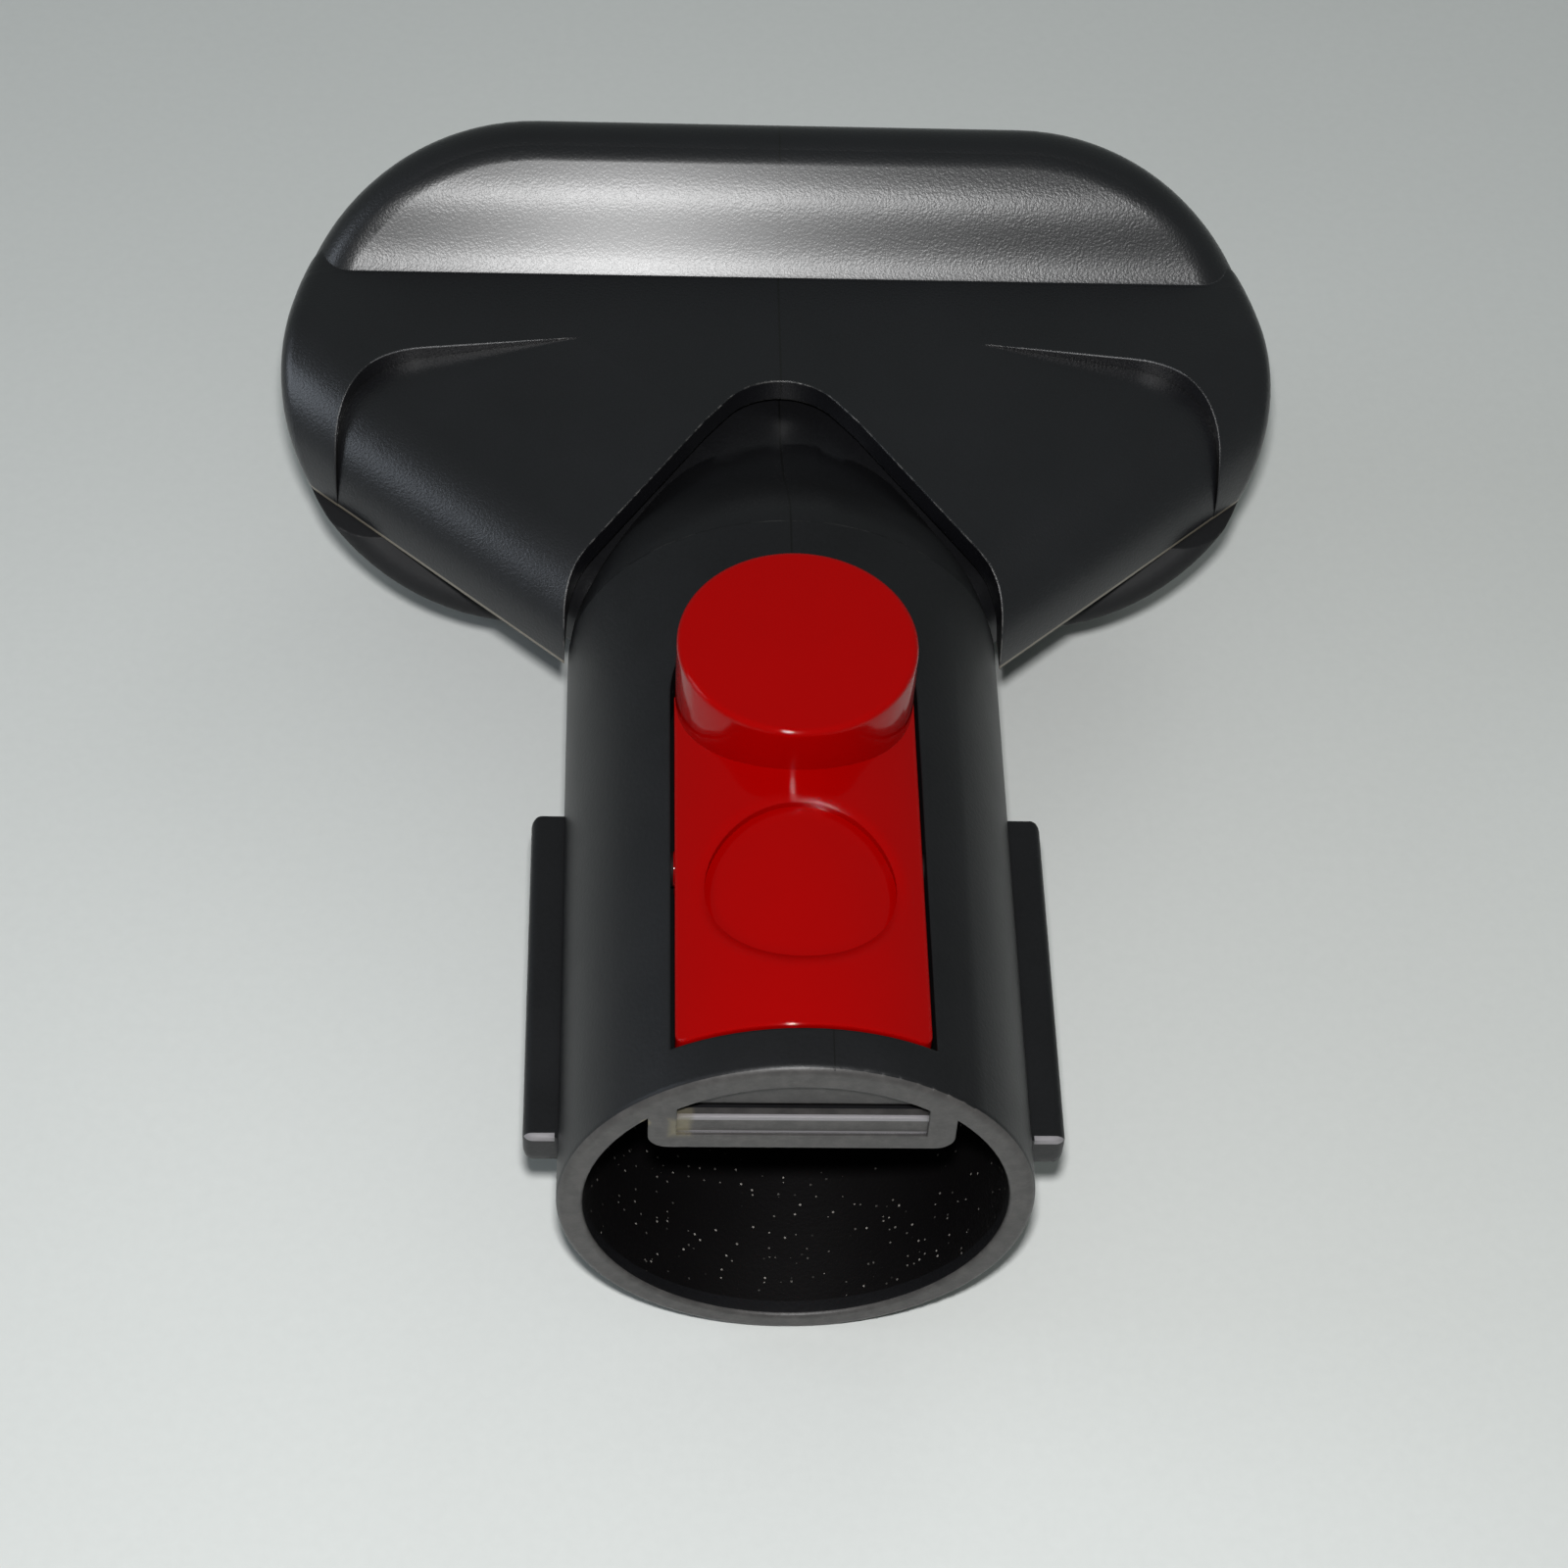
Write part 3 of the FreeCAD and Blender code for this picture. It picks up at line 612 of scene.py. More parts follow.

# %% [markdown]
# ### The cover's sheen
#
# The cover has a slightly silkier grain than the body. Its sloping back faces the lamp, and on the
# real part it shines in two soft bands. The back could be modelled wavy, but then it would leave the
# drawing, so a slow wave in the shading alone draws the bands. It is a few tenths of a millimetre
# high. The slope leans 45 degrees, so the place along it is the sum of the Y and Z coordinates,
# divided by the square root of two.

# %% Start the cover's plastic
# A pale brown for the wings' lower edges, partly wear and partly painted highlight, and a grey for the
# ridges' painted highlight
edge_brown_and_highlight = (0.17, 0.148, 0.115)
ridge_highlight_grey = (0.11, 0.11, 0.115)
cover_plastic, cover_tree, cover_shader = new_finish("cover_plastic")
_, cover_x, cover_y, cover_z = object_axes(cover_tree)
cover_side = math_node(cover_tree, "ABSOLUTE", cover_x)
cover_grain = use_group(cover_tree, grain_group, {
    "Plastic colour": (0.0045, 0.0045, 0.0060, 1), "Colour variation": 0.6, "Grain scale": 3900.0,
    "Blotch scale": 90.0, "Roughness": 0.37, "Roughness variation": 0.08})
cover_wear = use_group(cover_tree, wear_group, {
    "Corner radius": 0.0003, "Amount": 0.7, "Patch scale": 900.0})
cover_line = use_group(cover_tree, line_group, {
    "Line X": 0.0, "Half width": 0.00009, "From Y": 0.0700, "To Y": 0.1200, "Above Z": 0.0016})

# %% Find the sloping back
# The back leans 45 degrees, so sums and differences of Y and Z run along it and out of it
diagonal = 0.7071
back_y = 0.0930
back_z = 0.0054
back_level = (back_z - back_y) * diagonal
back_skin = 0.0003
height_and_depth = math_node(cover_tree, "ADD", cover_y, cover_z)
along_slope = math_node(cover_tree, "MULTIPLY", height_and_depth, diagonal)
height_less_depth = math_node(cover_tree, "SUBTRACT", cover_z, cover_y)
off_slope = math_node(cover_tree, "MULTIPLY", height_less_depth, diagonal)
on_back = below(cover_tree, distance_from(cover_tree, off_slope, back_level), back_skin)

# %% Mark the cover's worn edges
# Wear shows on the arch's edge. Each ridge gets a painted highlight line, and the wings' lower edges
# a pale brownish line that is partly wear and partly painted highlight
arch_side = 0.0215
ridge_side = 0.0230
ridge_level = 0.01186
wing_side = 0.0200
wing_edge_top = 0.00182
before_back = 0.0008
arch_wear = both(cover_tree, cover_wear.outputs["Wear"], below(cover_tree, cover_side, arch_side))
on_ridge = both(cover_tree, above(cover_tree, cover_side, ridge_side),
                above(cover_tree, cover_z, ridge_level))
ridge_highlight = both(cover_tree, cover_wear.outputs["Corner"], on_ridge)
in_front = above(cover_tree, off_slope, back_level + before_back)
low_in_front = both(cover_tree, in_front, inside_span(cover_tree, cover_z, 0.0, wing_edge_top))
wing_edge_wear_and_highlight = both(cover_tree, low_in_front, above(cover_tree, cover_side, wing_side))

# %% Lay the layers of the cover's plastic
# The parting line is a dark joint, and the creases get painted shade
cover_line_and_shade = either(cover_tree, cover_line.outputs["Line"], cover_wear.outputs["Crease shade"])
cover_colour = lay_over(cover_tree, cover_grain.outputs["Colour"], worn_grey, arch_wear)
# A painted highlight line on each ridge
cover_colour = lay_over(cover_tree, cover_colour, ridge_highlight_grey, ridge_highlight)
# The wings' lower edges: partly wear, partly painted highlight
cover_colour = lay_over(cover_tree, cover_colour, edge_brown_and_highlight, wing_edge_wear_and_highlight)
cover_colour = lay_over(cover_tree, cover_colour, line_and_shade_dark, cover_line_and_shade)

# Heights are millimetres here. The wave has its upper crest a little way up the back, and the lean
# adds so many millimetres for each metre along the slope, which moves both bands to their places
crest_up_back = 0.0170
upper_crest = (back_y + back_z) * diagonal + crest_up_back
wave_pitch = 0.0132
wave_height = 0.42
lean_of_shading = 22.0
grain_depth = 0.040
line_depth = 0.05
millimetre = 0.001
past_crest = math_node(cover_tree, "SUBTRACT", along_slope, upper_crest)
wave_turns = math_node(cover_tree, "MULTIPLY", past_crest, 2 * math.pi / wave_pitch)
wave = math_node(cover_tree, "MULTIPLY", math_node(cover_tree, "COSINE", wave_turns), wave_height)
leaning_wave = math_node(cover_tree, "MULTIPLY_ADD", along_slope, lean_of_shading, wave)
back_wave = both(cover_tree, leaning_wave, on_back)
cover_grain_height = math_node(cover_tree, "MULTIPLY", cover_grain.outputs["Height"], grain_depth)
cover_line_height = math_node(cover_tree, "MULTIPLY", cover_line.outputs["Line"], line_depth)
cover_relief = math_node(cover_tree, "SUBTRACT", cover_grain_height, cover_line_height)
cover_height = math_node(cover_tree, "ADD", back_wave, cover_relief)
cover_normal = bump_from(cover_tree, cover_height, depth=1.0, distance=millimetre,
                         normal=cover_wear.outputs["Rounded normal"])
finish_shader(cover_shader, cover_colour, cover_grain.outputs["Roughness"], cover_normal,
              specular=0.64)
cover_shader.inputs["Coat Weight"].default_value = 0.22
cover_shader.inputs["Coat Roughness"].default_value = 0.25
print("The cover's plastic has", len(cover_tree.nodes), "nodes")

# %% [markdown]
# ## The glossy red of the button
#
# The release button is moulded in bright red and polished, with no fine grain. What gives it life is
# its sharp gloss and the slow, very shallow waves that a polished moulding always has. A thin clear
# coat could give the gloss too, but a smooth plastic already shines enough without one.

# %% Make the button's plastic
# A dark brown for the painted shade on the button's stubs
stub_shade_brown = (0.01, 0.003, 0.003)
button_plastic, button_tree, button_shader = new_finish("button_plastic")
button_grain = use_group(button_tree, grain_group, {
    "Plastic colour": (0.300, 0.0002, 0.0002, 1), "Colour variation": 0.05, "Grain scale": 260.0,
    "Blotch scale": 60.0, "Roughness": 0.085, "Roughness variation": 0.03})
_, button_x, button_y, button_z = object_axes(button_tree)

# The thumb dish runs out softly into the plate, so its corners get a larger radius
dish_y = 0.0193
dish_reach = 0.0095
dish_level = 0.0160
button_rounding = 0.0005
extra_dish_rounding = 0.0014
from_dish = math_node(button_tree, "SUBTRACT", button_y, dish_y)
dish_square = squares_added(button_tree, button_x, from_dish)
in_dish = both(button_tree, below(button_tree, dish_square, dish_reach ** 2),
               above(button_tree, button_z, dish_level))
button_radius = math_node(button_tree, "MULTIPLY_ADD", in_dish, extra_dish_rounding, button_rounding)
button_wear = use_group(button_tree, wear_group, {
    "Corner radius": button_radius, "Amount": 0.0, "Patch scale": 500.0})

# The stubs that it turns on sit in the dark gaps beside the button, so they get painted shade
stub_side = 0.01045
stub_dullness = 0.6
shaded_stubs = above(button_tree, math_node(button_tree, "ABSOLUTE", button_x), stub_side)
button_colour = lay_over(button_tree, button_grain.outputs["Colour"], stub_shade_brown, shaded_stubs)
button_roughness = math_node(button_tree, "MULTIPLY_ADD", shaded_stubs, stub_dullness,
                             button_grain.outputs["Roughness"])
button_normal = bump_from(button_tree, button_grain.outputs["Height"], depth=0.10, distance=0.00003,
                          normal=button_wear.outputs["Rounded normal"])
finish_shader(button_shader, button_colour, button_roughness, button_normal, specular=0.15)

# %% [markdown]
# ## Sole, spring and bristles: three plain working finishes
#
# The sole is the same family of plastic, a little duller and dustier. The spring is steel wire with a
# fine grain. The bristles are black nylon, a little shiny, with a few specks of dust. All three are
# hidden in the photograph or lie deep in shadow, so the shared groups alone are enough for them.

# %% Make the sole's plastic, the steel and the nylon
sole_plastic, sole_tree, sole_shader = new_finish("sole_plastic")
sole_grain = use_group(sole_tree, grain_group, {
    "Plastic colour": (0.026, 0.026, 0.028, 1), "Colour variation": 0.4, "Grain scale": 2200.0,
    "Blotch scale": 110.0, "Roughness": 0.52, "Roughness variation": 0.12})
sole_wear = use_group(sole_tree, wear_group, {
    "Corner radius": 0.0003, "Amount": 0.5, "Patch scale": 300.0})
sole_dust = use_group(sole_tree, dust_group, {
    "Speck scale": 900.0, "Speck size": 0.2, "Share of specks": 0.06})
sole_colour = lay_over(sole_tree, sole_grain.outputs["Colour"], worn_grey, sole_wear.outputs["Wear"])
sole_colour = lay_over(sole_tree, sole_colour, dust_grey, sole_dust.outputs["Dust"])
sole_normal = bump_from(sole_tree, sole_grain.outputs["Height"], depth=0.35, distance=0.00006,
                        normal=sole_wear.outputs["Rounded normal"])
finish_shader(sole_shader, sole_colour, sole_grain.outputs["Roughness"], sole_normal, specular=0.45)

spring_steel, steel_tree, steel_shader = new_finish("spring_steel")
steel_grain = use_group(steel_tree, grain_group, {
    "Plastic colour": (0.55, 0.55, 0.57, 1), "Colour variation": 0.15, "Grain scale": 4000.0,
    "Blotch scale": 900.0, "Roughness": 0.28, "Roughness variation": 0.15})
steel_normal = bump_from(steel_tree, steel_grain.outputs["Height"], depth=0.15, distance=0.00002)
finish_shader(steel_shader, steel_grain.outputs["Colour"], steel_grain.outputs["Roughness"],
              steel_normal, specular=0.5)
steel_shader.inputs["Metallic"].default_value = 1.0

bristle_nylon, nylon_tree, nylon_shader = new_finish("bristle_nylon")
nylon_grain = use_group(nylon_tree, grain_group, {
    "Plastic colour": (0.014, 0.014, 0.015, 1), "Colour variation": 0.9, "Grain scale": 1800.0,
    "Blotch scale": 700.0, "Roughness": 0.38, "Roughness variation": 0.15})
nylon_dust = use_group(nylon_tree, dust_group, {
    "Speck scale": 1500.0, "Speck size": 0.25, "Share of specks": 0.03})
nylon_colour = lay_over(nylon_tree, nylon_grain.outputs["Colour"], dust_grey,
                        nylon_dust.outputs["Dust"])
nylon_normal = bump_from(nylon_tree, nylon_grain.outputs["Height"], depth=0.2, distance=0.00003)
finish_shader(nylon_shader, nylon_colour, nylon_grain.outputs["Roughness"], nylon_normal,
              specular=0.5)
finishes = (body_plastic, cover_plastic, button_plastic, sole_plastic, spring_steel, bristle_nylon)
print("Finishes:", [material.name for material in finishes])

# %% [markdown]
# ## The moulded parts
#
# A CAD part comes in as loose triangles. Its shape is right, but a curved wall of loose triangles
# looks faceted. A copy with its doubled points merged can be shaded smooth, with its real corners
# kept sharp. A flat face that runs into a rounded edge has to stay flat, so the flat faces are
# found first, and the Weighted Normal modifier lets them win at the points that they share with
# the rounding. The copy then stands for the CAD part.

# %% Find the flat faces of a part
# A face without area has no direction, and is taken to be this far turned, more than any real face
NO_DIRECTION = 3.2


def flat_patches(work, narrowest=0.0029, smallest_area=9e-6, flat_angle=0.4):
    """Gives the number of its flat patch to each face that lies in a real flat, and 0 to the rest."""
    patch_of = {}
    for first in work.faces:
        if first in patch_of:
            continue
        patch, waiting = [first], [first]
        patch_of[first] = 0
        while waiting:
            face = waiting.pop()
            for edge in face.edges:
                for other in edge.link_faces:
                    turn = other.normal.angle(first.normal, NO_DIRECTION)
                    if other not in patch_of and turn < math.radians(flat_angle):
                        patch_of[other] = 0
                        patch.append(other)
                        waiting.append(other)
        area = sum(face.calc_area() for face in patch)
        corners = [vertex.co for face in patch for vertex in face.verts]
        reach = max((corner - corners[0]).length for corner in corners)
        if area > smallest_area and area / reach > narrowest:
            for face in patch:
                patch_of[face] = first.index + 1
    return patch_of


# %% Make a smooth copy of each moulded part
# The Weighted Normal modifier reads these two numbers as a strong and as a weak face
STRONG = 16384
WEAK = -16384
MERGE_DISTANCE = 0.000002
SLIVER = 0.000001


def smooth_copy(node_name, material, body_name, corner_angle=28.0, seam=None, mend=None):
    """A merged and smoothly shaded copy of a CAD part, which then stands for it."""
    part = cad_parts[node_name]
    mesh = part.data.copy()
    mesh.name = node_name + "_moulding"
    work = bmesh.new()
    work.from_mesh(mesh)
    bmesh.ops.remove_doubles(work, verts=work.verts, dist=MERGE_DISTANCE)
    if mend is not None:
        mend(work)
    bmesh.ops.dissolve_degenerate(work, edges=work.edges, dist=SLIVER)
    weight = work.faces.layers.int.new("__mod_weightednormals_faceweight")
    work.normal_update()
    work.faces.index_update()
    patch_of = flat_patches(work)
    for face in work.faces:
        face[weight] = STRONG if patch_of[face] else WEAK
        face.smooth = True
    for edge in work.edges:
        if len(edge.link_faces) != 2:
            edge.smooth = False
            continue
        first, second = edge.link_faces
        angle = first.normal.angle(second.normal, NO_DIRECTION)
        two_flats = patch_of[first] and patch_of[second] and patch_of[first] != patch_of[second]
        on_seam = seam is not None and all(seam(vertex.co) for vertex in edge.verts)
        edge.smooth = not (angle > math.radians(corner_angle) or two_flats or on_seam)
    work.to_mesh(mesh)
    work.free()
    mesh.materials.clear()
    mesh.materials.append(material)
    copy = bpy.data.objects.new(node_name + "_moulding", mesh)
    scene.collection.objects.link(copy)
    flat_keeper = copy.modifiers.new("keep flats flat", "WEIGHTED_NORMAL")
    flat_keeper.mode = "CORNER_ANGLE"
    flat_keeper.keep_sharp = True
    flat_keeper.use_face_influence = True
    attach(copy, body_name)
    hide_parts(node_name)
    print(node_name, "has", len(mesh.polygons), "faces after merging")
    return copy


# %% Know the collar's end, and close the step in the wings' lower edges
COLLAR_RADIUS = 0.0200
BEFORE_COLLAR_END = 0.0580
ON_WALL = 0.00003


def on_collar_end(place):
    """True on the ring where the collar's round wall ends and the neck begins."""
    off_wall = abs(math.hypot(place.x, place.z) - COLLAR_RADIUS)
    return place.y > BEFORE_COLLAR_END and off_wall < ON_WALL


def straighten_wing_edges(work):
    """Closes the small step in each wing's lower edge, where the head's round end begins."""
    near = 0.00002
    edge_level = 0.0015
    step_from_x = 0.0237
    step_to_x = 0.02504
    step_from_y = 0.06238
    step_to_y = 0.06245
    edge_y = 0.061237
    edge_slope = 0.899
    merge_across_step = 0.000005
    for vertex in work.verts:
        place = vertex.co
        on_edge = abs(place.z - edge_level) < near
        beside_step = step_from_x - near < abs(place.x) < step_to_x
        if on_edge and beside_step and step_from_y < place.y < step_to_y:
            place.y = edge_y + (abs(place.x) - step_from_x) * edge_slope
    bmesh.ops.remove_doubles(work, verts=work.verts, dist=merge_across_step)


# %% Copy the five moulded and wound parts
smooth_copy("collar_body", body_plastic, "root", seam=on_collar_end)
smooth_copy("head_cover", cover_plastic, "root", mend=straighten_wing_edges)
smooth_copy("sole_plate", sole_plastic, "root")
smooth_copy("release_button", button_plastic, "button")
spring = smooth_copy("button_spring", spring_steel, "root", corner_angle=75.0)
# The real coil shortens under the pad as the button goes down, from its fixed foot on the housing's
# floor. Here the spring only drops its modifiers and gets a mesh of its own.
spring.modifiers.clear()
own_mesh(spring)

# %% [markdown]
# ## The bristles
#
# Each tuft of the real brush is a bundle of stiff nylon filaments, folded over a staple and pressed
# into a hole of the sole, so they spread a little towards their tips. Modelling each by hand would
# take days. Geometry Nodes put a bent filament on every point of a small spiral, and that bundle on
# every hole. The holes' places and the tufts' length come from the CAD tufts themselves, and their
# direction from the head's lean.

# %% Measure the tufts
head_lean = math.radians(45.0)
leaning_out = Vector((0, math.sin(head_lean), -math.cos(head_lean)))
tuft_names = sorted(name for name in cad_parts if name.startswith("tuft_"))


def tuft_ends(node_name):
    """The middle of a tuft's root and of its tip."""
    points = [vertex.co.copy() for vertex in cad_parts[node_name].data.vertices]
    reaches = [point.dot(leaning_out) for point in points]
    middle = (min(reaches) + max(reaches)) / 2
    root = [point for point, reach in zip(points, reaches) if reach < middle]
    tip = [point for point, reach in zip(points, reaches) if reach >= middle]
    return sum(root, Vector()) / len(root), sum(tip, Vector()) / len(tip)


tuft_roots = []
for tuft_name in tuft_names:
    root_place, tip_place = tuft_ends(tuft_name)
    tuft_roots.append(root_place)
# All the tufts are equally long, so the last one gives the length
tuft_length = (tip_place - root_place).length
print(len(tuft_roots), "tufts of", round(tuft_length * 1000, 2), "mm")

# %% Build the bristle tree


def add_tree_input(tree, name, kind, value):
    """A named input of the tree. Gives its identifier, which the modifier needs."""
    socket = tree.interface.new_socket(name=name, in_out="INPUT", socket_type=kind)
    if value is not None:
        socket.default_value = value
    return socket.identifier


bristle_tree = bpy.data.node_groups.new("bristle_tufts", "GeometryNodeTree")
bristle_inputs = {}
for input_name, input_kind, input_value in [
        ("Tuft roots", "NodeSocketGeometry", None),
        ("Filaments per tuft", "NodeSocketInt", 30),
        ("Filament length", "NodeSocketFloat", tuft_length),
        ("Length spread", "NodeSocketFloat", 0.05),
        ("Filament radius", "NodeSocketFloat", 0.00014),
        ("Root radius", "NodeSocketFloat", 0.00150),
        ("Splay", "NodeSocketFloat", 0.075),
        ("Sides", "NodeSocketInt", 5),
        ("Seed", "NodeSocketInt", 7),
        ("Nylon", "NodeSocketMaterial", None)]:
    bristle_inputs[input_name] = add_tree_input(bristle_tree, input_name, input_kind, input_value)
bristle_tree.interface.new_socket(name="Bristles", in_out="OUTPUT", socket_type="NodeSocketGeometry")
tree_in = bristle_tree.nodes.new("NodeGroupInput")
tree_out = bristle_tree.nodes.new("NodeGroupOutput")


def tree_math(operation, first, second=0.0):
    """One step of arithmetic in the bristle tree."""
    node = add_node(bristle_tree, "ShaderNodeMath", operation=operation)
    return set_inputs(node, {0: first, 1: second}).outputs[0]


def random_number(low, high, seed_step, key):
    """A random number for each point, from the tree's one seed."""
    node = add_node(bristle_tree, "FunctionNodeRandomValue", data_type="FLOAT")
    seed = tree_math("ADD", tree_in.outputs["Seed"], seed_step)
    node.inputs[2].default_value = low
    node.inputs[3].default_value = high
    bristle_tree.links.new(key, node.inputs["ID"])
    bristle_tree.links.new(seed, node.inputs["Seed"])
    return node.outputs[1]


# One filament: a short bent line with a round section, which ends in a blunt tip
filament_line = add_node(bristle_tree, "GeometryNodeCurvePrimitiveBezierSegment")
filament_line.inputs["Resolution"].default_value = 4
filament_line.inputs["Start"].default_value = (0, 0, 0)
filament_line.inputs["Start Handle"].default_value = (0.00, 0, 0.35)
filament_line.inputs["End Handle"].default_value = (0.02, 0, 0.70)
filament_line.inputs["End"].default_value = (0.06, 0, 1.0)

# The points of a spiral, all equally far apart, as filaments pack in a round hole
golden_angle = 2.39996
turn_per_tuft = 1.7
filaments_per_tuft = tree_in.outputs["Filaments per tuft"]
point_total = tree_math("MULTIPLY", filaments_per_tuft, float(len(tuft_roots)))
all_points = add_node(bristle_tree, "GeometryNodePoints")
bristle_tree.links.new(point_total, all_points.inputs["Count"])
point_index = add_node(bristle_tree, "GeometryNodeInputIndex").outputs[0]
in_tuft = tree_math("MODULO", point_index, filaments_per_tuft)
tuft_number = tree_math("FLOOR", tree_math("DIVIDE", point_index, filaments_per_tuft))
middle_of_step = tree_math("ADD", in_tuft, 0.5)
share_out = tree_math("SQRT", tree_math("DIVIDE", middle_of_step, filaments_per_tuft))
angle_in_tuft = tree_math("MULTIPLY", in_tuft, golden_angle)
angle_of_tuft = tree_math("MULTIPLY", tuft_number, turn_per_tuft)
spiral_angle = tree_math("ADD", angle_in_tuft, angle_of_tuft)
spiral_reach = tree_math("MULTIPLY", share_out, tree_in.outputs["Root radius"])
spiral_cos = tree_math("COSINE", spiral_angle)
spiral_sin = tree_math("SINE", spiral_angle)

# Two directions in the sole's face, and the one out of it
along_head = Vector((1, 0, 0))
up_slope = Vector((0, math.cos(head_lean), math.sin(head_lean)))


def scaled_direction(direction, amount):
    """A fixed direction times a number that differs from point to point."""
    node = add_node(bristle_tree, "ShaderNodeVectorMath", operation="SCALE")
    return set_inputs(node, {0: tuple(direction), "Scale": amount}).outputs[0]


def vector_sum(first, second):
    """Two vectors added together."""
    node = add_node(bristle_tree, "ShaderNodeVectorMath", operation="ADD")
    return set_inputs(node, {0: first, 1: second}).outputs[0]


outward = vector_sum(scaled_direction(along_head, spiral_cos), scaled_direction(up_slope, spiral_sin))
root_offset = add_node(bristle_tree, "ShaderNodeVectorMath", operation="SCALE")
set_inputs(root_offset, {0: outward, "Scale": spiral_reach})
root_sample = add_node(
    bristle_tree, "GeometryNodeSampleIndex", data_type="FLOAT_VECTOR", domain="POINT")
root_position = add_node(bristle_tree, "GeometryNodeInputPosition").outputs[0]
bristle_tree.links.new(tree_in.outputs["Tuft roots"], root_sample.inputs["Geometry"])
bristle_tree.links.new(root_position, root_sample.inputs["Value"])
bristle_tree.links.new(tuft_number, root_sample.inputs["Index"])
filament_root = vector_sum(root_sample.outputs["Value"], root_offset.outputs[0])
bristle_tree.links.new(filament_root, all_points.inputs["Position"])

# Each filament leans out from the middle of its tuft, by a little more or less than its neighbour
own_share = random_number(low=0.5, high=1.3, seed_step=1.0, key=point_index)
even_splay = tree_math("MULTIPLY", share_out, tree_in.outputs["Splay"])
splay_amount = tree_math("MULTIPLY", even_splay, own_share)
splay_lean = add_node(bristle_tree, "ShaderNodeVectorMath", operation="SCALE")
set_inputs(splay_lean, {0: outward, "Scale": splay_amount})
filament_direction = vector_sum(splay_lean.outputs[0], tuple(leaning_out))
stand_up = add_node(bristle_tree, "FunctionNodeAlignRotationToVector", axis="Z")
bristle_tree.links.new(filament_direction, stand_up.inputs["Vector"])
spin_about = add_node(bristle_tree, "FunctionNodeRotateRotation", rotation_space="LOCAL")
bristle_tree.links.new(stand_up.outputs[0], spin_about.inputs[0])
spin_turn = add_node(bristle_tree, "ShaderNodeCombineXYZ")
full_turn = 6.2832
own_turn = random_number(low=0.0, high=full_turn, seed_step=2.0, key=point_index)
bristle_tree.links.new(own_turn, spin_turn.inputs["Z"])
spin_rotation = add_node(bristle_tree, "FunctionNodeEulerToRotation")
bristle_tree.links.new(spin_turn.outputs[0], spin_rotation.inputs[0])
bristle_tree.links.new(spin_rotation.outputs[0], spin_about.inputs[1])

# The line is one unit long, so its scale is the filament's length
own_loss = random_number(low=0.0, high=1.0, seed_step=3.0, key=point_index)
length_loss = tree_math("MULTIPLY", own_loss, tree_in.outputs["Length spread"])
length_kept = tree_math("SUBTRACT", 1.0, length_loss)
own_length = tree_math("MULTIPLY", tree_in.outputs["Filament length"], length_kept)
length_scale = add_node(bristle_tree, "ShaderNodeCombineXYZ")
for axis_name in ("X", "Y", "Z"):
    bristle_tree.links.new(own_length, length_scale.inputs[axis_name])
plant = add_node(bristle_tree, "GeometryNodeInstanceOnPoints")
bristle_tree.links.new(all_points.outputs[0], plant.inputs["Points"])
bristle_tree.links.new(filament_line.outputs[0], plant.inputs["Instance"])
bristle_tree.links.new(spin_about.outputs[0], plant.inputs["Rotation"])
bristle_tree.links.new(length_scale.outputs[0], plant.inputs["Scale"])

realize = add_node(bristle_tree, "GeometryNodeRealizeInstances")
bristle_tree.links.new(plant.outputs[0], realize.inputs[0])
section = add_node(bristle_tree, "GeometryNodeCurvePrimitiveCircle", mode="RADIUS")
bristle_tree.links.new(tree_in.outputs["Sides"], section.inputs["Resolution"])
bristle_tree.links.new(tree_in.outputs["Filament radius"], section.inputs["Radius"])
thicken = add_node(bristle_tree, "GeometryNodeCurveToMesh")
bristle_tree.links.new(realize.outputs[0], thicken.inputs["Curve"])
bristle_tree.links.new(section.outputs[0], thicken.inputs["Profile Curve"])
thicken.inputs["Fill Caps"].default_value = True
own_material = add_node(bristle_tree, "GeometryNodeSetMaterial")
bristle_tree.links.new(thicken.outputs[0], own_material.inputs["Geometry"])
bristle_tree.links.new(tree_in.outputs["Nylon"], own_material.inputs["Material"])
final_realize = add_node(bristle_tree, "GeometryNodeRealizeInstances")
bristle_tree.links.new(own_material.outputs[0], final_realize.inputs[0])
bristle_tree.links.new(final_realize.outputs[0], tree_out.inputs["Bristles"])

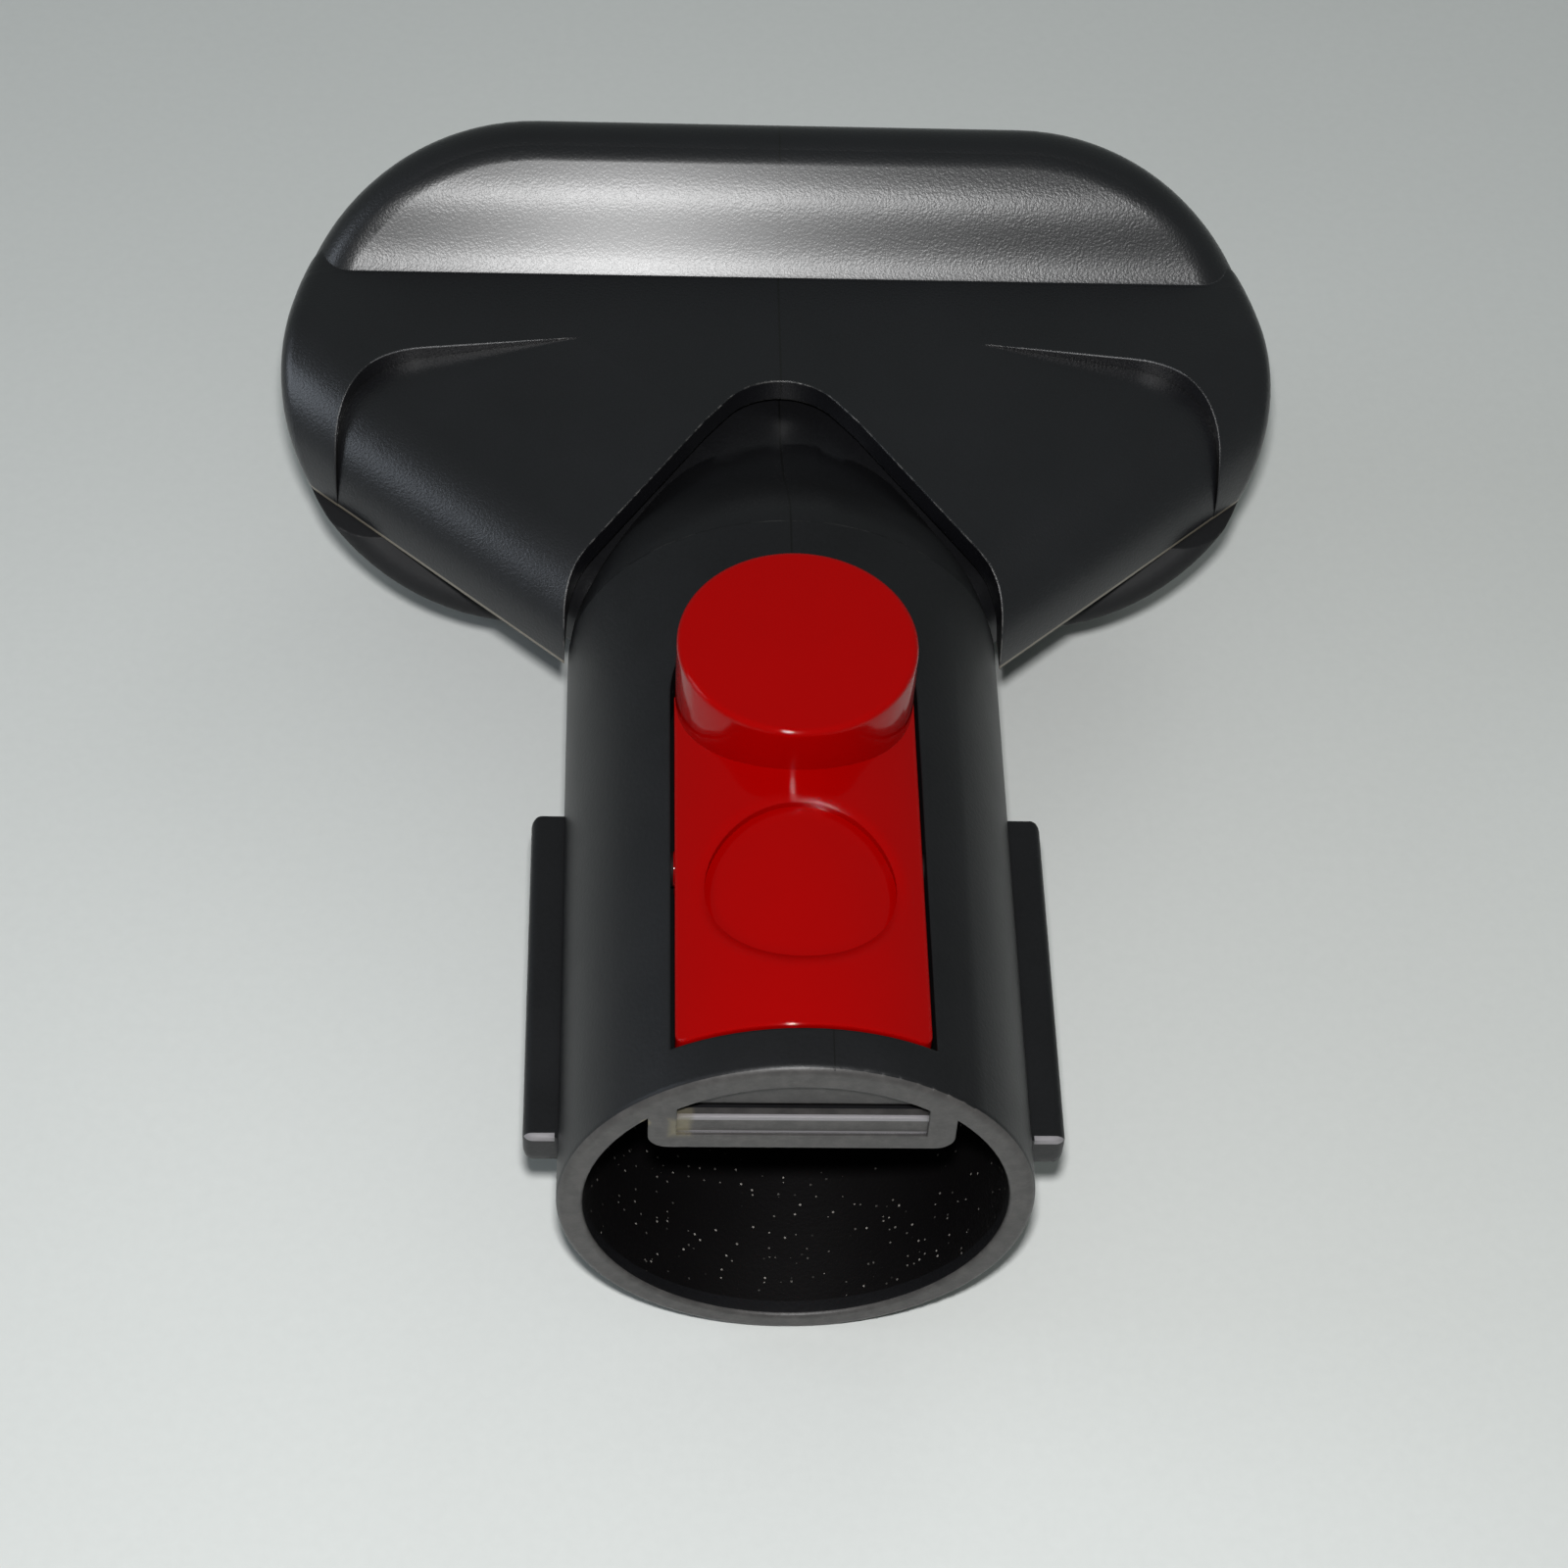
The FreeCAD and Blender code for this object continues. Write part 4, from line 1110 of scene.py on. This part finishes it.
# %% Grow the bristles and keep them as a plain mesh
root_mesh = bpy.data.meshes.new("tuft_roots")
root_mesh.from_pydata([tuple(place) for place in tuft_roots], [], [])
grower = bpy.data.objects.new("tuft_roots", root_mesh)
scene.collection.objects.link(grower)
growing = grower.modifiers.new("grow bristles", "NODES")
growing.node_group = bristle_tree
# The filaments are a little shorter than the tufts, so their tips stay inside the drawing's box
share_of_tuft = 0.995
growing[bristle_inputs["Filament length"]] = tuft_length * share_of_tuft
growing[bristle_inputs["Nylon"]] = bristle_nylon
bristle_mesh = bpy.data.meshes.new_from_object(
    grower.evaluated_get(bpy.context.evaluated_depsgraph_get()))
grower.modifiers.remove(growing)
bpy.data.objects.remove(grower)
bristle_mesh.name = "bristles"
bristle_mesh.shade_smooth()
bristle_mesh.set_sharp_from_angle(angle=math.radians(60.0))
bristles = bpy.data.objects.new("bristles", bristle_mesh)
scene.collection.objects.link(bristles)
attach(bristles, "root")
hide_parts(*tuft_names)
print("Bristles:", len(bristle_mesh.polygons), "faces, lowest point in mm:",
      round(min(vertex.co.z for vertex in bristle_mesh.vertices) * 1000, 2))

# %% [markdown]
# ## The table
#
# The brush lies on a pale, slightly shiny table top. One large plane a hair under the lowest point is
# enough, with a faint grain, so that it doesn't look like an empty background.

# %% Lay the table under the brush
hair_under = 0.00002
table_level = cad_box[0][2] - hair_under
reach = 3.0
table_corners = [(-reach, -reach, table_level), (reach, -reach, table_level),
                 (reach, reach, table_level), (-reach, reach, table_level)]
table_mesh = bpy.data.meshes.new("table_top")
table_mesh.from_pydata(table_corners, [], [(0, 1, 2, 3)])
table_top = bpy.data.objects.new("table_top", table_mesh)
scene.collection.objects.link(table_top)
table_finish, table_tree, table_shader = new_finish("pale_table_top")
table_grain = use_group(table_tree, grain_group, {
    "Plastic colour": (0.66, 0.675, 0.66, 1), "Colour variation": 0.06, "Grain scale": 900.0,
    "Blotch scale": 12.0, "Roughness": 0.38, "Roughness variation": 0.05})
table_normal = bump_from(table_tree, table_grain.outputs["Height"], depth=0.05, distance=0.00005)
finish_shader(table_shader, table_grain.outputs["Colour"], table_grain.outputs["Roughness"],
              table_normal, specular=0.5)
table_mesh.materials.append(table_finish)
